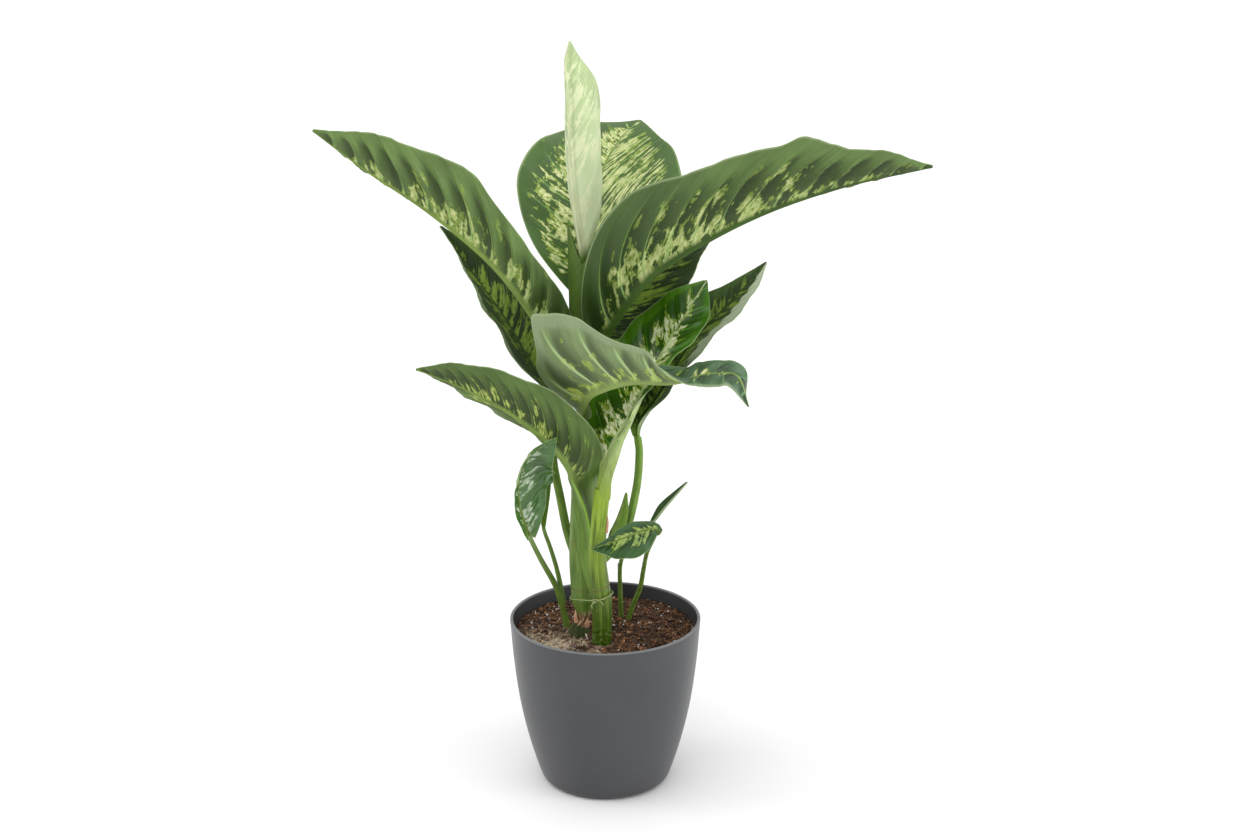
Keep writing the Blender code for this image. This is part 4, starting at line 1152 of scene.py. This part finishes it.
def make_soil():
    rings = []
    angle = even_angles(ROUND_SIDES)
    random = np.random.default_rng(5)
    for r in np.linspace(0.05, SOIL_RADIUS, SOIL_RINGS):
        x, y = r * np.cos(angle), r * np.sin(angle)
        rough = random.normal(0, 0.55, len(angle)) * min(r / 6, 1)
        rings.append(np.stack([x, y, soil_height(x, y) + rough - 0.6], -1))
    wall = rings[-1].copy()
    wall[:, 2] = SOIL_WAIST[0]
    wall[:, :2] *= SOIL_WAIST[1] / SOIL_RADIUS
    low = turned([SOIL_FOOT, (SOIL_FOOT[0], 0.05)], ROUND_SIDES)
    points, faces = loft(np.array(rings + [wall] + list(low)))
    soil = add_mesh("fine_soil", points, faces, "soil", 180.0)
    sh = Shader("peat")
    coarse, fine = sh.grain(220.0, 4.0, 0.65), sh.grain(900.0, 3.0, 0.6)
    colour = sh.mix(sh.between(coarse, 0.38, 0.62), (0.012, 0.006, 0.003), (0.10, 0.045, 0.018))
    colour = sh.mix(sh.between(fine, 0.56, 0.68, 0.0, 0.7), colour, (0.36, 0.23, 0.13))
    soil.data.materials.append(sh.finish(sandy(sh, colour), 0.9, fine, 0.8, 0.0012))


def small_ball():
    """Points and faces of a ball of few faces, with radius 1."""
    bm = bmesh.new()
    bmesh.ops.create_icosphere(bm, subdivisions=1, radius=1.0)
    points = np.array([v.co for v in bm.verts])
    faces = np.array([[v.index for v in f.verts] for f in bm.faces])
    bm.free()
    return points, faces


def random_turn(random):
    yaw, pitch, roll = random.random() * 2 * math.pi, random.normal(0, 0.45), random.normal(0, 0.45)
    (cy, sy), (cp, sp), (cr, sr) = ((math.cos(a), math.sin(a)) for a in (yaw, pitch, roll))
    about_z = np.array([[cy, -sy, 0], [sy, cy, 0], [0, 0, 1]])
    about_y = np.array([[cp, 0, sp], [0, 1, 0], [-sp, 0, cp]])
    about_x = np.array([[1, 0, 0], [0, cr, -sr], [0, sr, cr]])
    return about_z @ about_y @ about_x


def scatter(name, count, sizes, flatness, seed, lift):
    """Lumpy grains spread over the soil in one mesh, each with its own tone."""
    random = np.random.default_rng(seed)
    ball, ball_faces = small_ball()
    points, faces, tones = [], [], []
    while len(points) < count:
        r = (SOIL_RADIUS - 2.0) * math.sqrt(random.random())
        a = random.random() * 2 * math.pi
        x, y = r * math.cos(a), r * math.sin(a)
        if any((x - cx) ** 2 + (y - cy) ** 2 < cr**2 for cx, cy, cr in KEEP_OFF):
            continue
        size = sizes[0] + (sizes[1] - sizes[0]) * random.random() ** 2
        shape = ball * (1 + random.normal(0, 0.22, len(ball)))[:, None]
        width, height = 0.55 + 0.45 * random.random(), flatness * (0.6 + 0.6 * random.random())
        shape = shape * np.array([1.0, width, height])
        shape = shape @ random_turn(random).T * size / 2
        faces.append(ball_faces + len(points) * len(ball))
        points.append(shape + np.array([x, y, float(soil_height(x, y)) + lift * size]))
        tones.append(np.full(len(ball), random.random()))
    grains = add_mesh(name, np.concatenate(points), np.concatenate(faces).tolist(), None, 180.0)
    add_value(grains.data, "tone", np.concatenate(tones))
    return grains


def make_crumbs():
    crumbs = scatter("soil_crumbs", CRUMB_COUNT, CRUMB_SIZES, flatness=0.60, seed=11, lift=0.16)
    sh = Shader("bark crumbs")
    # Grains that lie together are alike, so the soil looks clumped.
    clump = sh.between(sh.grain(75.0, 4.0, 0.6), 0.36, 0.64)
    tone = sh.add(sh.times(sh.value("tone"), 0.55), sh.times(clump, 0.42))
    fine = sh.grain(700.0, 3.0, 0.6)
    colour = sh.mix(sh.between(tone, 0.15, 0.75), (0.028, 0.011, 0.004), (0.26, 0.112, 0.044))
    colour = sh.mix(sh.between(tone, 0.75, 0.98), colour, (0.60, 0.38, 0.21))
    colour = sh.mix(sh.between(fine, 0.42, 0.62, 0.0, 0.6), colour, (0.050, 0.021, 0.009))
    crumbs.data.materials.append(sh.finish(sandy(sh, colour), 0.88, fine, 0.7, 0.0008))
    grains = scatter("soil_perlite", PERLITE_COUNT, PERLITE_SIZES, flatness=0.8, seed=23, lift=0.35)
    white = ((0.55, 0.52, 0.46), (0.86, 0.85, 0.82))
    grains.data.materials.append(plain_material("perlite", 1600.0, 2.0, (0.3, 0.6), *white, 0.8, 0.6, 0.0006))


def make_stage():
    mesh = bpy.data.meshes.new("floor")
    half = FLOOR_HALF_WIDTH
    corners = [(-half, -half, 0), (half, -half, 0), (half, half, 0), (-half, half, 0)]
    mesh.from_pydata(corners, [], [(0, 1, 2, 3)])
    mesh.materials.append(Shader("floor").finish((0.90, 0.90, 0.90), 0.9, Specular_IOR_Level=0.0))
    floor = add_object("floor", mesh)


def make_tent():
    """A white tent, brightest overhead and dim behind the camera."""
    world = bpy.data.worlds.new("studio")
    bpy.context.scene.world = world
    world.use_nodes = True
    nodes = Nodes(world.node_tree)
    x, y, z = nodes.split(nodes.node("TexCoord").outputs["Generated"])
    overhead = nodes.between(z, 0.15, 0.95, TENT_LOW, TENT_TOP)
    side = nodes.between(nodes.size(x), 0.55, 0.95, 0.0, TENT_SIDE)
    back = nodes.between(y, 0.1, 0.7, 0.0, TENT_BACK)
    front = nodes.between(y, -0.85, -0.15, TENT_FRONT, 1.0)
    background = world.node_tree.nodes["Background"]
    nodes.put(background.inputs["Color"], (1.0, 1.0, 1.0))
    nodes.put(background.inputs["Strength"], nodes.times(nodes.add(overhead, side, back), front))


def make_softboxes():
    for number, (source, strength, angle) in enumerate(SOFTBOXES):
        data = bpy.data.lights.new(f"softbox_{number}", "SUN")
        data.energy = strength
        data.angle = math.radians(angle)
        light = add_object(f"softbox_{number}", data)
        light.rotation_euler = Vector(source).to_track_quat("Z", "Y").to_euler()


def make_camera():
    data = bpy.data.cameras.new("camera")
    data.sensor_width = SENSOR
    data.lens = FOCAL_PIXELS / FRAME_WIDTH * SENSOR
    data.clip_end = 100.0
    camera = add_object("camera", data)
    camera.location = CAMERA_PLACE
    camera.rotation_euler = (math.pi / 2 - CAMERA_PITCH, 0.0, 0.0)
    bpy.context.scene.camera = camera
    view = bpy.context.scene.view_settings
    view.view_transform = "Standard"
    view.look = "None"


make_camera()
make_tent()
make_softboxes()
make_stage()
make_pot()
make_soil()
make_crumbs()
for cane in CANES:
    make_cane(cane)
make_stub()
make_tie()
make_scales()
for number, leaf_name in enumerate(LEAVES):
    make_leaf(leaf_name, 3.1 * number)
